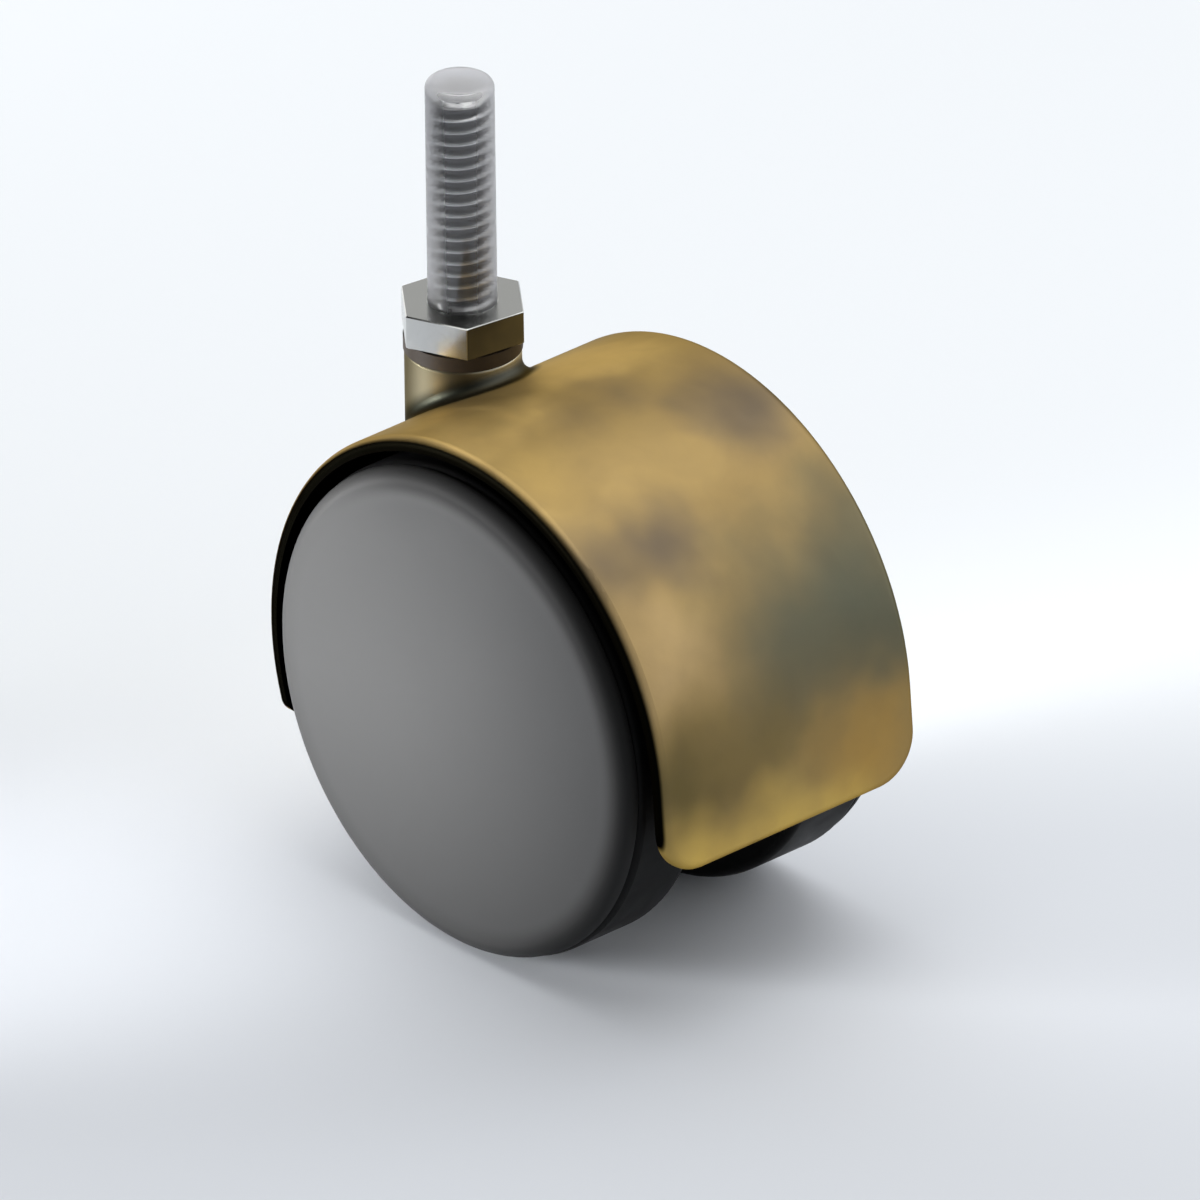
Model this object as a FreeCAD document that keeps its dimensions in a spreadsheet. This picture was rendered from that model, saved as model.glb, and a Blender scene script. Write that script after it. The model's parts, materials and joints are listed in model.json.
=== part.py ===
"""Twin wheel furniture castor with a hood, a swivelling threaded stem and a clear thread cap.

Frame: millimetres, +Z up along the stem, +X forward from the stem to the wheels, +Y along the axle.
The origin is on the stem's axis, at the seating face of its hexagonal collar.
"""

import FreeCAD, Part
import math
import os

import Sketcher
from FreeCAD import Placement, Rotation, Vector

DOCUMENT = FreeCAD.newDocument("twin_wheel_castor")

# Driving sizes: name, value in millimetres (degrees for a turn, a plain count for a count), meaning
SIZES = [
    ("swivel_offset", 16.75, "stem axis to axle axis, level"),
    ("running_clearance", 0.05, "radial play of a turning fit"),
    ("push_clearance", 0.03, "radial play of a push-on or snap-in fit"),
    ("end_play", 0.1, "play along an axis between turning faces"),
    ("wheel_diameter", 50.0, "over the tread"),
    ("wheel_inner_face", 7.3, "castor's middle plane to a tyre's inner side"),
    ("tyre_width", 8.5, "tyre's inner side to its outer side"),
    ("tyre_thickness", 2.6, "tread to rim"),
    ("tyre_edge_radius", 0.9, "rounding of the tread's edges"),
    ("key_height", 0.6, "ridge on the rim that keys the tyre"),
    ("key_width", 2.4, "width of that ridge"),
    ("rim_thickness", 1.8, "radial wall of the rim"),
    ("rim_setback", 0.25, "rim's edges behind the tyre's sides"),
    ("disc_thickness", 1.8, "wall between hub and rim"),
    ("disc_inset", 3.3, "that wall behind the tyre's outer side"),
    ("hub_wall", 2.0, "radial wall of the hub"),
    ("hub_length", 7.6, "hub along the axle"),
    ("hub_bush_wall", 1.05, "radial wall of the hub's bush"),
    ("rib_count", 8, "ribs on the inner side of the wheel"),
    ("rib_thickness", 1.2, "wall of a rib"),
    ("rib_depth", 2.4, "rib's height above the disc wall"),
    ("cover_edge_inset", 0.25, "cover's edge inside the tread's radius"),
    ("cover_projection", 1.6, "cover's face beyond the tyre's outer side"),
    ("cover_crown", 0.25, "rise of the cover's middle"),
    ("cover_edge_radius", 1.55, "rounding of the cover's edge"),
    ("cover_wall", 1.3, "wall of the cover's face"),
    ("plug_wall", 1.2, "wall of the ring that snaps into the rim"),
    ("plug_depth", 2.2, "reach of that ring into the rim"),
    ("axle_diameter", 5.0, "axle pin"),
    ("axle_end_margin", 0.7, "axle beyond its clip groove"),
    ("axle_end_chamfer", 0.3, "chamfer at the axle's ends"),
    ("axle_clip_thickness", 0.6, "clip at the axle's end"),
    ("axle_clip_reach", 1.9, "clip's edge beyond the axle's surface"),
    ("clip_groove_depth", 0.4, "groove for a clip"),
    ("clip_slot_margin", 0.35, "clip's half slot inside its groove's radius"),
    ("clip_relief_share", 0.3, "radius of a clip's relief, as a share of the clip's width"),
    ("clip_relief_turn", 130, "turn of a clip's relief from its slot, degrees"),
    ("spacer_thickness", 0.8, "washer between axle boss and hub"),
    ("spacer_reach", 2.0, "washer's edge beyond the axle's surface"),
    ("boss_radius", 5.0, "casting's boss round the axle"),
    ("boss_half_length", 4.4, "middle plane to the boss's end"),
    ("hood_room", 1.65, "tread's radius to the inside of the hood's arch"),
    ("hood_wall", 1.4, "wall of the hood"),
    ("hood_overhang", 0.5, "hood's side rim beyond the tyre's outer side"),
    ("hood_centre_forward", 0.8, "arch's centre ahead of the axle"),
    ("hood_centre_rise", -0.1, "arch's centre above the axle"),
    ("front_skirt_drop", 7.25, "front lower edge below the axle"),
    ("front_skirt_flare", 0.6, "front lower edge ahead of the arch"),
    ("back_skirt_drop", 9.7, "back lower edge below the axle"),
    ("front_corner_radius", 4.8, "rounding of the front skirt's corners"),
    ("back_corner_radius", 1.4, "rounding of the back skirt's corners"),
    ("rim_edge_radius", 1.0, "rounding of the hood's outer edges"),
    ("centre_web_thickness", 3.0, "casting's plate between the wheels"),
    ("centre_web_drop", 3.0, "that plate's lower edge below the axle"),
    ("pintle_room", 0.6, "that plate's stop ahead of the socket"),
    ("neck_radius", 5.65, "outside of the stem socket"),
    ("neck_front_rise", 2.0, "neck's top above the hood, at the neck's front"),
    ("neck_edge_radius", 0.3, "rounding at the neck's top"),
    ("neck_blend_radius", 1.0, "fillet between neck and hood"),
    ("socket_length", 19.0, "neck's top to the socket's lower end"),
    ("thread_diameter", 6.25, "stem's thread, over the crests"),
    ("thread_pitch", 1.27, "thread's rise in one turn"),
    ("thread_depth", 0.74, "thread's crest to its root"),
    ("thread_root_flat", 0.3, "flat at the groove's root"),
    ("thread_flank_angle", 30, "thread's flank from level, degrees"),
    ("thread_foot", 0.9, "first groove's middle above the seating face"),
    ("groove_overrun", 0.05, "groove's outline drawn beyond the crests"),
    ("thread_length", 22.2, "thread above the seating face"),
    ("thread_end_chamfer", 0.7, "chamfer at the thread's end"),
    ("collar_across_flats", 11.3, "hexagonal collar"),
    ("collar_thickness", 3.45, "seating face to the collar's underside"),
    ("collar_turn", 21.7, "turn of a collar corner from +X, degrees"),
    ("collar_edge_chamfer", 0.12, "broken edge at the collar's faces"),
    ("relief_depth", 0.3, "recess in the seating face round the thread"),
    ("relief_margin", 0.12, "recess beyond the cap's outside"),
    ("pintle_diameter", 6.3, "plain shank that turns in the bushes"),
    ("pintle_end_margin", 0.9, "pintle below its clip groove"),
    ("swivel_bush_wall", 0.9, "radial wall of the swivel bushes"),
    ("upper_sleeve_length", 7.0, "upper bush's sleeve in the socket"),
    ("upper_flange_thickness", 1.45, "upper bush's flange under the collar"),
    ("upper_flange_overhang", 0.1, "that flange beyond the neck"),
    ("lower_sleeve_length", 6.0, "lower bush's sleeve in the socket"),
    ("lower_flange_thickness", 1.0, "lower bush's flange"),
    ("lower_flange_inset", 0.5, "that flange inside the neck's radius"),
    ("swivel_washer_thickness", 0.8, "washer under the lower bush"),
    ("swivel_clip_thickness", 0.7, "clip on the pintle"),
    ("swivel_clip_reach", 1.8, "clip's edge beyond the pintle's surface"),
    ("cap_wall", 0.18, "side wall of the clear cap"),
    ("cap_end_wall", 0.7, "closed end of the clear cap"),
    ("cap_end_gap", 0.5, "air between the thread's end and the cap"),
    ("cap_edge_radius", 1.0, "rounding of the cap's closed end"),
]

# Worked sizes: name and the expression that ties it to the driving sizes
WORKED = [
    ("wheel_radius", "sizes.wheel_diameter / 2"),
    ("axle_radius", "sizes.axle_diameter / 2"),
    ("tyre_outer_face", "sizes.wheel_inner_face + sizes.tyre_width"),
    ("tyre_middle", "sizes.wheel_inner_face + sizes.tyre_width / 2"),
    ("rim_radius", "worked.wheel_radius - sizes.tyre_thickness"),
    ("rim_bore_radius", "worked.rim_radius - sizes.rim_thickness"),
    ("rim_inner_edge", "sizes.wheel_inner_face + sizes.rim_setback"),
    ("rim_outer_edge", "worked.tyre_outer_face - sizes.rim_setback"),
    ("key_radius", "worked.rim_radius + sizes.key_height"),
    ("key_inner_edge", "worked.tyre_middle - sizes.key_width / 2"),
    ("key_outer_edge", "worked.tyre_middle + sizes.key_width / 2"),
    ("disc_outer_face", "worked.tyre_outer_face - sizes.disc_inset"),
    ("disc_inner_face", "worked.disc_outer_face - sizes.disc_thickness"),
    ("rib_edge", "worked.disc_inner_face - sizes.rib_depth"),
    ("bush_bore_radius", "worked.axle_radius + sizes.running_clearance"),
    ("bush_radius", "worked.bush_bore_radius + sizes.hub_bush_wall"),
    ("hub_radius", "worked.bush_radius + sizes.hub_wall"),
    ("spacer_inner_face", "sizes.boss_half_length + sizes.end_play"),
    ("spacer_outer_face", "worked.spacer_inner_face + sizes.spacer_thickness"),
    ("hub_inner_end", "worked.spacer_outer_face + sizes.end_play"),
    ("hub_outer_end", "worked.hub_inner_end + sizes.hub_length"),
    ("axle_clip_face", "worked.hub_outer_end + sizes.end_play"),
    ("axle_groove_end", "worked.axle_clip_face + sizes.axle_clip_thickness"),
    ("axle_half_length", "worked.axle_groove_end + sizes.axle_end_margin"),
    ("axle_groove_radius", "worked.axle_radius - sizes.clip_groove_depth"),
    ("axle_clip_radius", "worked.axle_radius + sizes.axle_clip_reach"),
    ("spacer_radius", "worked.axle_radius + sizes.spacer_reach"),
    ("cover_radius", "worked.wheel_radius - sizes.cover_edge_inset"),
    ("cover_face", "worked.tyre_outer_face + sizes.cover_projection"),
    ("cover_middle", "worked.cover_face + sizes.cover_crown"),
    ("cover_inside", "worked.cover_face - sizes.cover_wall"),
    ("plug_radius", "worked.rim_bore_radius - sizes.push_clearance"),
    ("plug_bore_radius", "worked.plug_radius - sizes.plug_wall"),
    ("plug_edge", "worked.tyre_outer_face - sizes.plug_depth"),
    ("hood_inner_radius", "worked.wheel_radius + sizes.hood_room"),
    ("hood_middle_radius", "worked.hood_inner_radius + sizes.hood_wall / 2"),
    ("hood_radius", "worked.hood_inner_radius + sizes.hood_wall"),
    ("hood_half_width", "worked.tyre_outer_face + sizes.hood_overhang"),
    ("hood_width", "2 * worked.hood_half_width"),
    ("hood_front", "sizes.hood_centre_forward + worked.hood_radius + sizes.front_skirt_flare"),
    ("boss_length", "2 * sizes.boss_half_length"),
    ("neck_top", "-(sizes.collar_thickness + sizes.end_play + sizes.upper_flange_thickness)"),
    ("neck_front", "sizes.swivel_offset + sizes.hood_centre_forward - sizes.neck_radius"),
    ("neck_front_foot", "sizes.hood_centre_rise + sqrt(worked.hood_radius^2 - worked.neck_front^2)"),
    ("neck_height", "worked.neck_front_foot + sizes.neck_front_rise"),
    ("axle_drop", "worked.neck_height - worked.neck_top"),
    ("socket_end", "worked.neck_top - sizes.socket_length"),
    ("socket_end_rise", "worked.neck_height - sizes.socket_length"),
    ("web_back", "sizes.neck_radius + sizes.pintle_room - sizes.swivel_offset"),
    ("thread_radius", "sizes.thread_diameter / 2"),
    ("thread_root_radius", "worked.thread_radius - sizes.thread_depth"),
    ("groove_mouth_radius", "worked.thread_radius + sizes.groove_overrun"),
    ("groove_cut", "worked.groove_mouth_radius - worked.thread_root_radius"),
    ("groove_mouth_half", "sizes.thread_root_flat / 2 + worked.groove_cut * tan(sizes.thread_flank_angle)"),
    ("pintle_radius", "sizes.pintle_diameter / 2"),
    ("collar_corner_radius", "sizes.collar_across_flats / (2 * cos(30))"),
    ("swivel_bore_radius", "worked.pintle_radius + sizes.running_clearance"),
    ("socket_bore_radius", "worked.swivel_bore_radius + sizes.swivel_bush_wall"),
    ("upper_flange_radius", "sizes.neck_radius + sizes.upper_flange_overhang"),
    ("upper_sleeve_end", "worked.neck_top - sizes.upper_sleeve_length"),
    ("upper_flange_top", "worked.neck_top + sizes.upper_flange_thickness"),
    ("lower_flange_radius", "sizes.neck_radius - sizes.lower_flange_inset"),
    ("lower_flange_end", "worked.socket_end - sizes.lower_flange_thickness"),
    ("lower_sleeve_end", "worked.socket_end + sizes.lower_sleeve_length"),
    ("washer_top", "worked.lower_flange_end - sizes.end_play"),
    ("washer_end", "worked.washer_top - sizes.swivel_washer_thickness"),
    ("swivel_clip_top", "worked.washer_end - sizes.end_play / 2"),
    ("swivel_clip_end", "worked.swivel_clip_top - sizes.swivel_clip_thickness"),
    ("pintle_end", "worked.swivel_clip_end - sizes.pintle_end_margin"),
    ("pintle_groove_radius", "worked.pintle_radius - sizes.clip_groove_depth"),
    ("swivel_clip_radius", "worked.pintle_radius + sizes.swivel_clip_reach"),
    ("cap_bore_radius", "worked.thread_radius + sizes.push_clearance"),
    ("cap_radius", "worked.cap_bore_radius + sizes.cap_wall"),
    ("cap_foot", "sizes.push_clearance - sizes.relief_depth"),
    ("cap_inside_end", "sizes.thread_length + sizes.cap_end_gap"),
    ("cap_top", "worked.cap_inside_end + sizes.cap_end_wall"),
    ("relief_radius", "worked.cap_radius + sizes.relief_margin"),
]

X_AXIS = Vector(1, 0, 0)
Y_AXIS = Vector(0, 1, 0)
Z_AXIS = Vector(0, 0, 1)
FULL_TURN = 360.0
HEXAGON = 6
NEAR = 0.001
ROUGHLY = 0.01
SAMPLES_ON_EDGE = 5


def write_sizes():
    """Fill the spreadsheet of driving sizes."""
    sheet = DOCUMENT.addObject("Spreadsheet::Sheet", "sizes")
    for row, (name, value, meaning) in enumerate(SIZES, start=1):
        sheet.set(f"A{row}", name)
        sheet.set(f"B{row}", str(value))
        sheet.set(f"C{row}", meaning)
        sheet.setAlias(f"B{row}", name)
    DOCUMENT.recompute()
    return sheet


def work_out_sizes():
    """Tie each worked size to the spreadsheet by its expression."""
    worked = DOCUMENT.addObject("App::VarSet", "worked")
    for name, expression in WORKED:
        worked.addProperty("App::PropertyFloat", name, "worked")
        worked.setExpression(name, expression)
    DOCUMENT.recompute()
    return worked


sizes = write_sizes()
worked = work_out_sizes()


def new_body(label):
    """Add an empty body whose label names its node."""
    body = DOCUMENT.addObject("PartDesign::Body", label)
    body.Label = label
    return body


def sketch_on(body, name, role="XZ_Plane", offset=None):
    """Attach a sketch to one of the body's own planes, moved along the plane's normal by an expression."""
    sketch = body.newObject("Sketcher::SketchObject", name)
    plane = next(item for item in body.Origin.OriginFeatures if item.Role == role)
    sketch.AttachmentSupport = [(plane, "")]
    sketch.MapMode = "FlatFace"
    if offset:
        sketch.setExpression("AttachmentOffset.Base.z", offset)
    return sketch


def hold(sketch, kind, geometry, point, expression):
    """Dimension a point from the sketch's origin by an expression."""
    place = sketch.getPoint(geometry, point)
    start = place.x if kind == "DistanceX" else place.y
    index = sketch.addConstraint(Sketcher.Constraint(kind, -1, 1, geometry, point, start))
    sketch.setExpression(f"Constraints[{index}]", expression)


def hold_radius(sketch, geometry, start, expression):
    """Dimension the radius of a circle or an arc by an expression."""
    index = sketch.addConstraint(Sketcher.Constraint("Radius", geometry, start))
    sketch.setExpression(f"Constraints[{index}]", expression)


def outline(sketch, corners):
    """Draw a closed outline of straight lines; each corner is a pair of expressions."""
    count = len(corners)
    ring = [FULL_TURN / count * number for number in range(count)]
    start = [Rotation(Z_AXIS, turn).multVec(X_AXIS * worked.wheel_radius) for turn in ring]
    for number in range(count):
        sketch.addGeometry(Part.LineSegment(start[number], start[(number + 1) % count]))
    for number in range(count):
        after = (number + 1) % count
        sketch.addConstraint(Sketcher.Constraint("Coincident", number, 2, after, 1))
    for number, (across, up) in enumerate(corners):
        hold(sketch, "DistanceX", number, 1, across)
        hold(sketch, "DistanceY", number, 1, up)


def circle(sketch, radius, across="0", up="0"):
    """Draw a circle whose radius and centre are expressions."""
    first = worked.wheel_radius
    index = sketch.addGeometry(Part.Circle(Vector(first, first, 0), Z_AXIS, first))
    hold_radius(sketch, index, first, radius)
    hold(sketch, "DistanceX", index, 3, across)
    hold(sketch, "DistanceY", index, 3, up)


def turned(body, name, corners, kind="Revolution"):
    """Add a turned form: a half section, radius across and height up, turned about the body's Z axis."""
    sketch = sketch_on(body, f"{name}_section")
    outline(sketch, corners)
    feature = body.newObject(f"PartDesign::{kind}", name)
    feature.Profile = sketch
    feature.ReferenceAxis = (sketch, ["V_Axis"])
    feature.Angle = FULL_TURN
    DOCUMENT.recompute()
    return feature


def helical_groove(body, name, corners, pitch, height):
    """Cut a groove that winds up the body's Z axis; its outline, pitch and height are expressions."""
    before = body.Shape.Volume
    sketch = sketch_on(body, f"{name}_section")
    outline(sketch, corners)
    feature = body.newObject("PartDesign::SubtractiveHelix", name)
    feature.Profile = sketch
    feature.ReferenceAxis = (sketch, ["V_Axis"])
    feature.Mode = "pitch-height-angle"
    feature.setExpression("Pitch", pitch)
    feature.setExpression("Height", height)
    DOCUMENT.recompute()
    if body.Shape.Volume > before - NEAR:
        raise ValueError(f"{body.Label}: {name} cuts nothing")
    return feature


def padded(body, name, sketch, length, both_ways=False):
    """Pad a sketch by an expression, to one side or half to each side."""
    feature = body.newObject("PartDesign::Pad", name)
    feature.Profile = sketch
    feature.Midplane = both_ways
    feature.setExpression("Length", length)
    DOCUMENT.recompute()
    return feature


def pocketed(body, name, sketch, length=None, both_ways=False, turned_over=False):
    """Cut a sketch's outline out of the body, to a depth given by an expression or right through."""
    before = body.Shape.Volume
    feature = body.newObject("PartDesign::Pocket", name)
    feature.Profile = sketch
    feature.Midplane = both_ways
    feature.Reversed = turned_over
    if length:
        feature.setExpression("Length", length)
    else:
        feature.Type = "ThroughAll"
    DOCUMENT.recompute()
    if body.Shape.Volume > before - NEAR:
        raise ValueError(f"{body.Label}: {name} cuts nothing")
    return feature


def finished_edges(body, name, kind, test, size):
    """Fillet or chamfer, by an expression, every edge of the body that passes the test."""
    before = body.Tip
    numbers = enumerate(before.Shape.Edges, start=1)
    chosen = [f"Edge{number}" for number, edge in numbers if test(edge)]
    if not chosen:
        raise ValueError(f"{body.Label}: {name} finds no edge")
    feature = body.newObject(f"PartDesign::{kind}", name)
    feature.Base = (before, chosen)
    feature.setExpression("Radius" if kind == "Fillet" else "Size", size)
    DOCUMENT.recompute()
    return feature


def is_ring(edge, radius, height, centre=(0.0, 0.0)):
    """Tell whether an edge is a level circle about an upright axis, at a radius and a height."""
    if edge.Degenerated or not isinstance(edge.Curve, Part.Circle):
        return False
    curve = edge.Curve
    middle = curve.Center
    off_axis = math.hypot(middle.x - centre[0], middle.y - centre[1])
    return abs(curve.Radius - radius) < NEAR and abs(middle.z - height) < NEAR and off_axis < NEAR


def lie_together(edge, other):
    """Tell whether two edges are the same stretch of outline."""
    apart = edge.CenterOfMass.distanceToPoint(other.CenterOfMass)
    return apart < NEAR and abs(edge.Length - other.Length) < NEAR


def place_at_axle(body, side=0):
    """Put a body's origin on the axle; a side of -1 or 1 lays its Z axis along -Y or +Y."""
    quarter = FULL_TURN / 4
    body.Placement = Placement(Vector(), Rotation(X_AXIS, -side * quarter))
    body.setExpression("Placement.Base.x", "sizes.swivel_offset")
    body.setExpression("Placement.Base.z", "-worked.axle_drop")


def ring(body, name, inner, outer, low, high):
    """Add a plain ring between two radii and two heights, all four expressions."""
    return turned(body, name, [(inner, low), (outer, low), (outer, high), (inner, high)])


def threaded_stem():
    """One turned steel piece: thread, hexagonal collar and plain pintle with a clip groove."""
    body = new_body("threaded_stem")
    collar = sketch_on(body, "collar_outline", "XY_Plane", "-sizes.collar_thickness")
    corners = []
    for number in range(HEXAGON):
        angle = f"(sizes.collar_turn + {number * FULL_TURN / HEXAGON:g})"
        corners.append((
            f"worked.collar_corner_radius * cos({angle})",
            f"worked.collar_corner_radius * sin({angle})",
        ))
    outline(collar, corners)
    padded(body, "collar", collar, "sizes.collar_thickness")
    finished_edges(body, "collar_edges", "Chamfer", lambda edge: True, "sizes.collar_edge_chamfer")

    relief = sketch_on(body, "relief_outline", "XY_Plane")
    circle(relief, "worked.relief_radius")
    pocketed(body, "relief", relief, "sizes.relief_depth")

    inside_collar = "-sizes.collar_thickness / 2"
    turned(body, "thread_rod", [
        ("0", inside_collar),
        ("worked.thread_radius", inside_collar),
        ("worked.thread_radius", "sizes.thread_length - sizes.thread_end_chamfer"),
        ("worked.thread_radius - sizes.thread_end_chamfer", "sizes.thread_length"),
        ("0", "sizes.thread_length"),
    ])
    helical_groove(body, "thread", [
        ("worked.thread_root_radius", "sizes.thread_foot - sizes.thread_root_flat / 2"),
        ("worked.groove_mouth_radius", "sizes.thread_foot - worked.groove_mouth_half"),
        ("worked.groove_mouth_radius", "sizes.thread_foot + worked.groove_mouth_half"),
        ("worked.thread_root_radius", "sizes.thread_foot + sizes.thread_root_flat / 2"),
    ], "sizes.thread_pitch", "sizes.thread_length - sizes.thread_foot + sizes.thread_pitch")
    turned(body, "pintle", [
        ("0", "worked.pintle_end"),
        ("worked.pintle_groove_radius", "worked.pintle_end"),
        ("worked.pintle_radius", "worked.pintle_end + sizes.clip_groove_depth"),
        ("worked.pintle_radius", "worked.swivel_clip_end"),
        ("worked.pintle_groove_radius", "worked.swivel_clip_end"),
        ("worked.pintle_groove_radius", "worked.swivel_clip_top"),
        ("worked.pintle_radius", "worked.swivel_clip_top"),
        ("worked.pintle_radius", inside_collar),
        ("0", inside_collar),
    ])
    return body


def thread_protector():
    """Clear moulded cap pushed over the thread, open at its foot and closed at its top."""
    body = new_body("thread_protector")
    turned(body, "cap", [
        ("worked.cap_bore_radius", "worked.cap_foot"),
        ("worked.cap_radius", "worked.cap_foot"),
        ("worked.cap_radius", "worked.cap_top"),
        ("0", "worked.cap_top"),
        ("0", "worked.cap_inside_end"),
        ("worked.cap_bore_radius", "worked.cap_inside_end"),
    ])

    def is_top_edge(edge):
        return is_ring(edge, worked.cap_radius, worked.cap_top)

    finished_edges(body, "cap_edge", "Fillet", is_top_edge, "sizes.cap_edge_radius")
    return body


def upper_swivel_bush():
    """Flanged bush at the neck's top; its dark flange shows under the collar."""
    body = new_body("upper_swivel_bush")
    turned(body, "bush", [
        ("worked.swivel_bore_radius", "worked.upper_sleeve_end"),
        ("worked.socket_bore_radius", "worked.upper_sleeve_end"),
        ("worked.socket_bore_radius", "worked.neck_top"),
        ("worked.upper_flange_radius", "worked.neck_top"),
        ("worked.upper_flange_radius", "worked.upper_flange_top"),
        ("worked.swivel_bore_radius", "worked.upper_flange_top"),
    ])
    return body


def lower_swivel_bush():
    """Flanged bush in the socket's lower end."""
    body = new_body("lower_swivel_bush")
    turned(body, "bush", [
        ("worked.swivel_bore_radius", "worked.lower_flange_end"),
        ("worked.lower_flange_radius", "worked.lower_flange_end"),
        ("worked.lower_flange_radius", "worked.socket_end"),
        ("worked.socket_bore_radius", "worked.socket_end"),
        ("worked.socket_bore_radius", "worked.lower_sleeve_end"),
        ("worked.swivel_bore_radius", "worked.lower_sleeve_end"),
    ])
    return body


def swivel_washer():
    """Steel washer on the pintle, between the lower bush and the clip."""
    body = new_body("swivel_washer")
    bore = "worked.swivel_bore_radius"
    ring(body, "washer", bore, "worked.lower_flange_radius", "worked.washer_end", "worked.washer_top")
    return body


def retaining_clip(label, groove_radius, clip_radius, low, high):
    """Flat spring clip for a shaft's groove: a disc with a bore, an open slot and two reliefs."""
    body = new_body(label)
    disc = sketch_on(body, "disc_outline", "XY_Plane", low)
    circle(disc, clip_radius)
    padded(body, "disc", disc, f"{high} - ({low})")

    bore = sketch_on(body, "bore_outline", "XY_Plane", low)
    circle(bore, groove_radius)
    pocketed(body, "bore", bore, turned_over=True)

    slot = sketch_on(body, "slot_outline", "XY_Plane", low)
    half_slot = f"({groove_radius} - sizes.clip_slot_margin)"
    past_edge = f"2 * {clip_radius}"
    outline(slot, [
        ("0", f"-{half_slot}"),
        (past_edge, f"-{half_slot}"),
        (past_edge, half_slot),
        ("0", half_slot),
    ])
    pocketed(body, "slot", slot, turned_over=True)

    relief_radius = f"({clip_radius} - {groove_radius}) * sizes.clip_relief_share"
    for way in ("", "-"):
        relief = sketch_on(body, "relief_outline", "XY_Plane", low)
        across = f"{groove_radius} * cos(sizes.clip_relief_turn)"
        circle(relief, relief_radius, across, f"{way}{groove_radius} * sin(sizes.clip_relief_turn)")
        pocketed(body, "relief", relief, turned_over=True)
    return body


def swivel_clip():
    """Clip that holds the pintle in the socket."""
    low = "worked.swivel_clip_end"
    high = "worked.swivel_clip_top"
    return retaining_clip(
        "swivel_clip", "worked.pintle_groove_radius", "worked.swivel_clip_radius", low, high
    )


def draw_hood_section(sketch):
    """Draw the hood's section across the axle: an arch of even wall with a straight front skirt."""
    radius = worked.hood_radius
    inner = worked.hood_inner_radius
    centre = Vector(sizes.hood_centre_forward, sizes.hood_centre_rise, 0)
    back = math.pi + math.asin(sizes.back_skirt_drop / radius)
    front = math.atan(sizes.front_skirt_flare / sizes.front_skirt_drop)

    def around(size, angle):
        return centre + Vector(size * math.cos(angle), size * math.sin(angle), 0)

    outer_foot = Vector(worked.hood_front, -sizes.front_skirt_drop, 0)
    inner_foot = outer_foot - Vector(sizes.hood_wall, 0, 0)
    outer_circle = Part.Circle(centre, Z_AXIS, radius)
    inner_circle = Part.Circle(centre, Z_AXIS, inner)
    outer_arc = sketch.addGeometry(Part.ArcOfCircle(outer_circle, front, back))
    outer_line = sketch.addGeometry(Part.LineSegment(around(radius, front), outer_foot))
    foot_line = sketch.addGeometry(Part.LineSegment(outer_foot, inner_foot))
    inner_line = sketch.addGeometry(Part.LineSegment(inner_foot, around(inner, front)))
    inner_arc = sketch.addGeometry(Part.ArcOfCircle(inner_circle, front, back))
    back_line = sketch.addGeometry(Part.LineSegment(around(inner, back), around(radius, back)))

    def join(kind, *ends):
        sketch.addConstraint(Sketcher.Constraint(kind, *ends))

    join("Tangent", outer_arc, 1, outer_line, 1)
    join("Tangent", inner_arc, 1, inner_line, 2)
    join("Coincident", outer_line, 2, foot_line, 1)
    join("Coincident", foot_line, 2, inner_line, 1)
    join("Coincident", inner_arc, 2, back_line, 1)
    join("Coincident", back_line, 2, outer_arc, 2)
    join("Coincident", inner_arc, 3, outer_arc, 3)
    join("Horizontal", foot_line)
    join("Horizontal", back_line)
    join("Parallel", outer_line, inner_line)
    hold(sketch, "DistanceX", outer_arc, 3, "sizes.hood_centre_forward")
    hold(sketch, "DistanceY", outer_arc, 3, "sizes.hood_centre_rise")
    hold(sketch, "DistanceX", outer_line, 2, "worked.hood_front")
    hold(sketch, "DistanceY", outer_line, 2, "-sizes.front_skirt_drop")
    hold(sketch, "DistanceY", outer_arc, 2, "-sizes.back_skirt_drop")
    hold_radius(sketch, outer_arc, radius, "worked.hood_radius")
    hold_radius(sketch, inner_arc, inner, "worked.hood_inner_radius")


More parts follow.
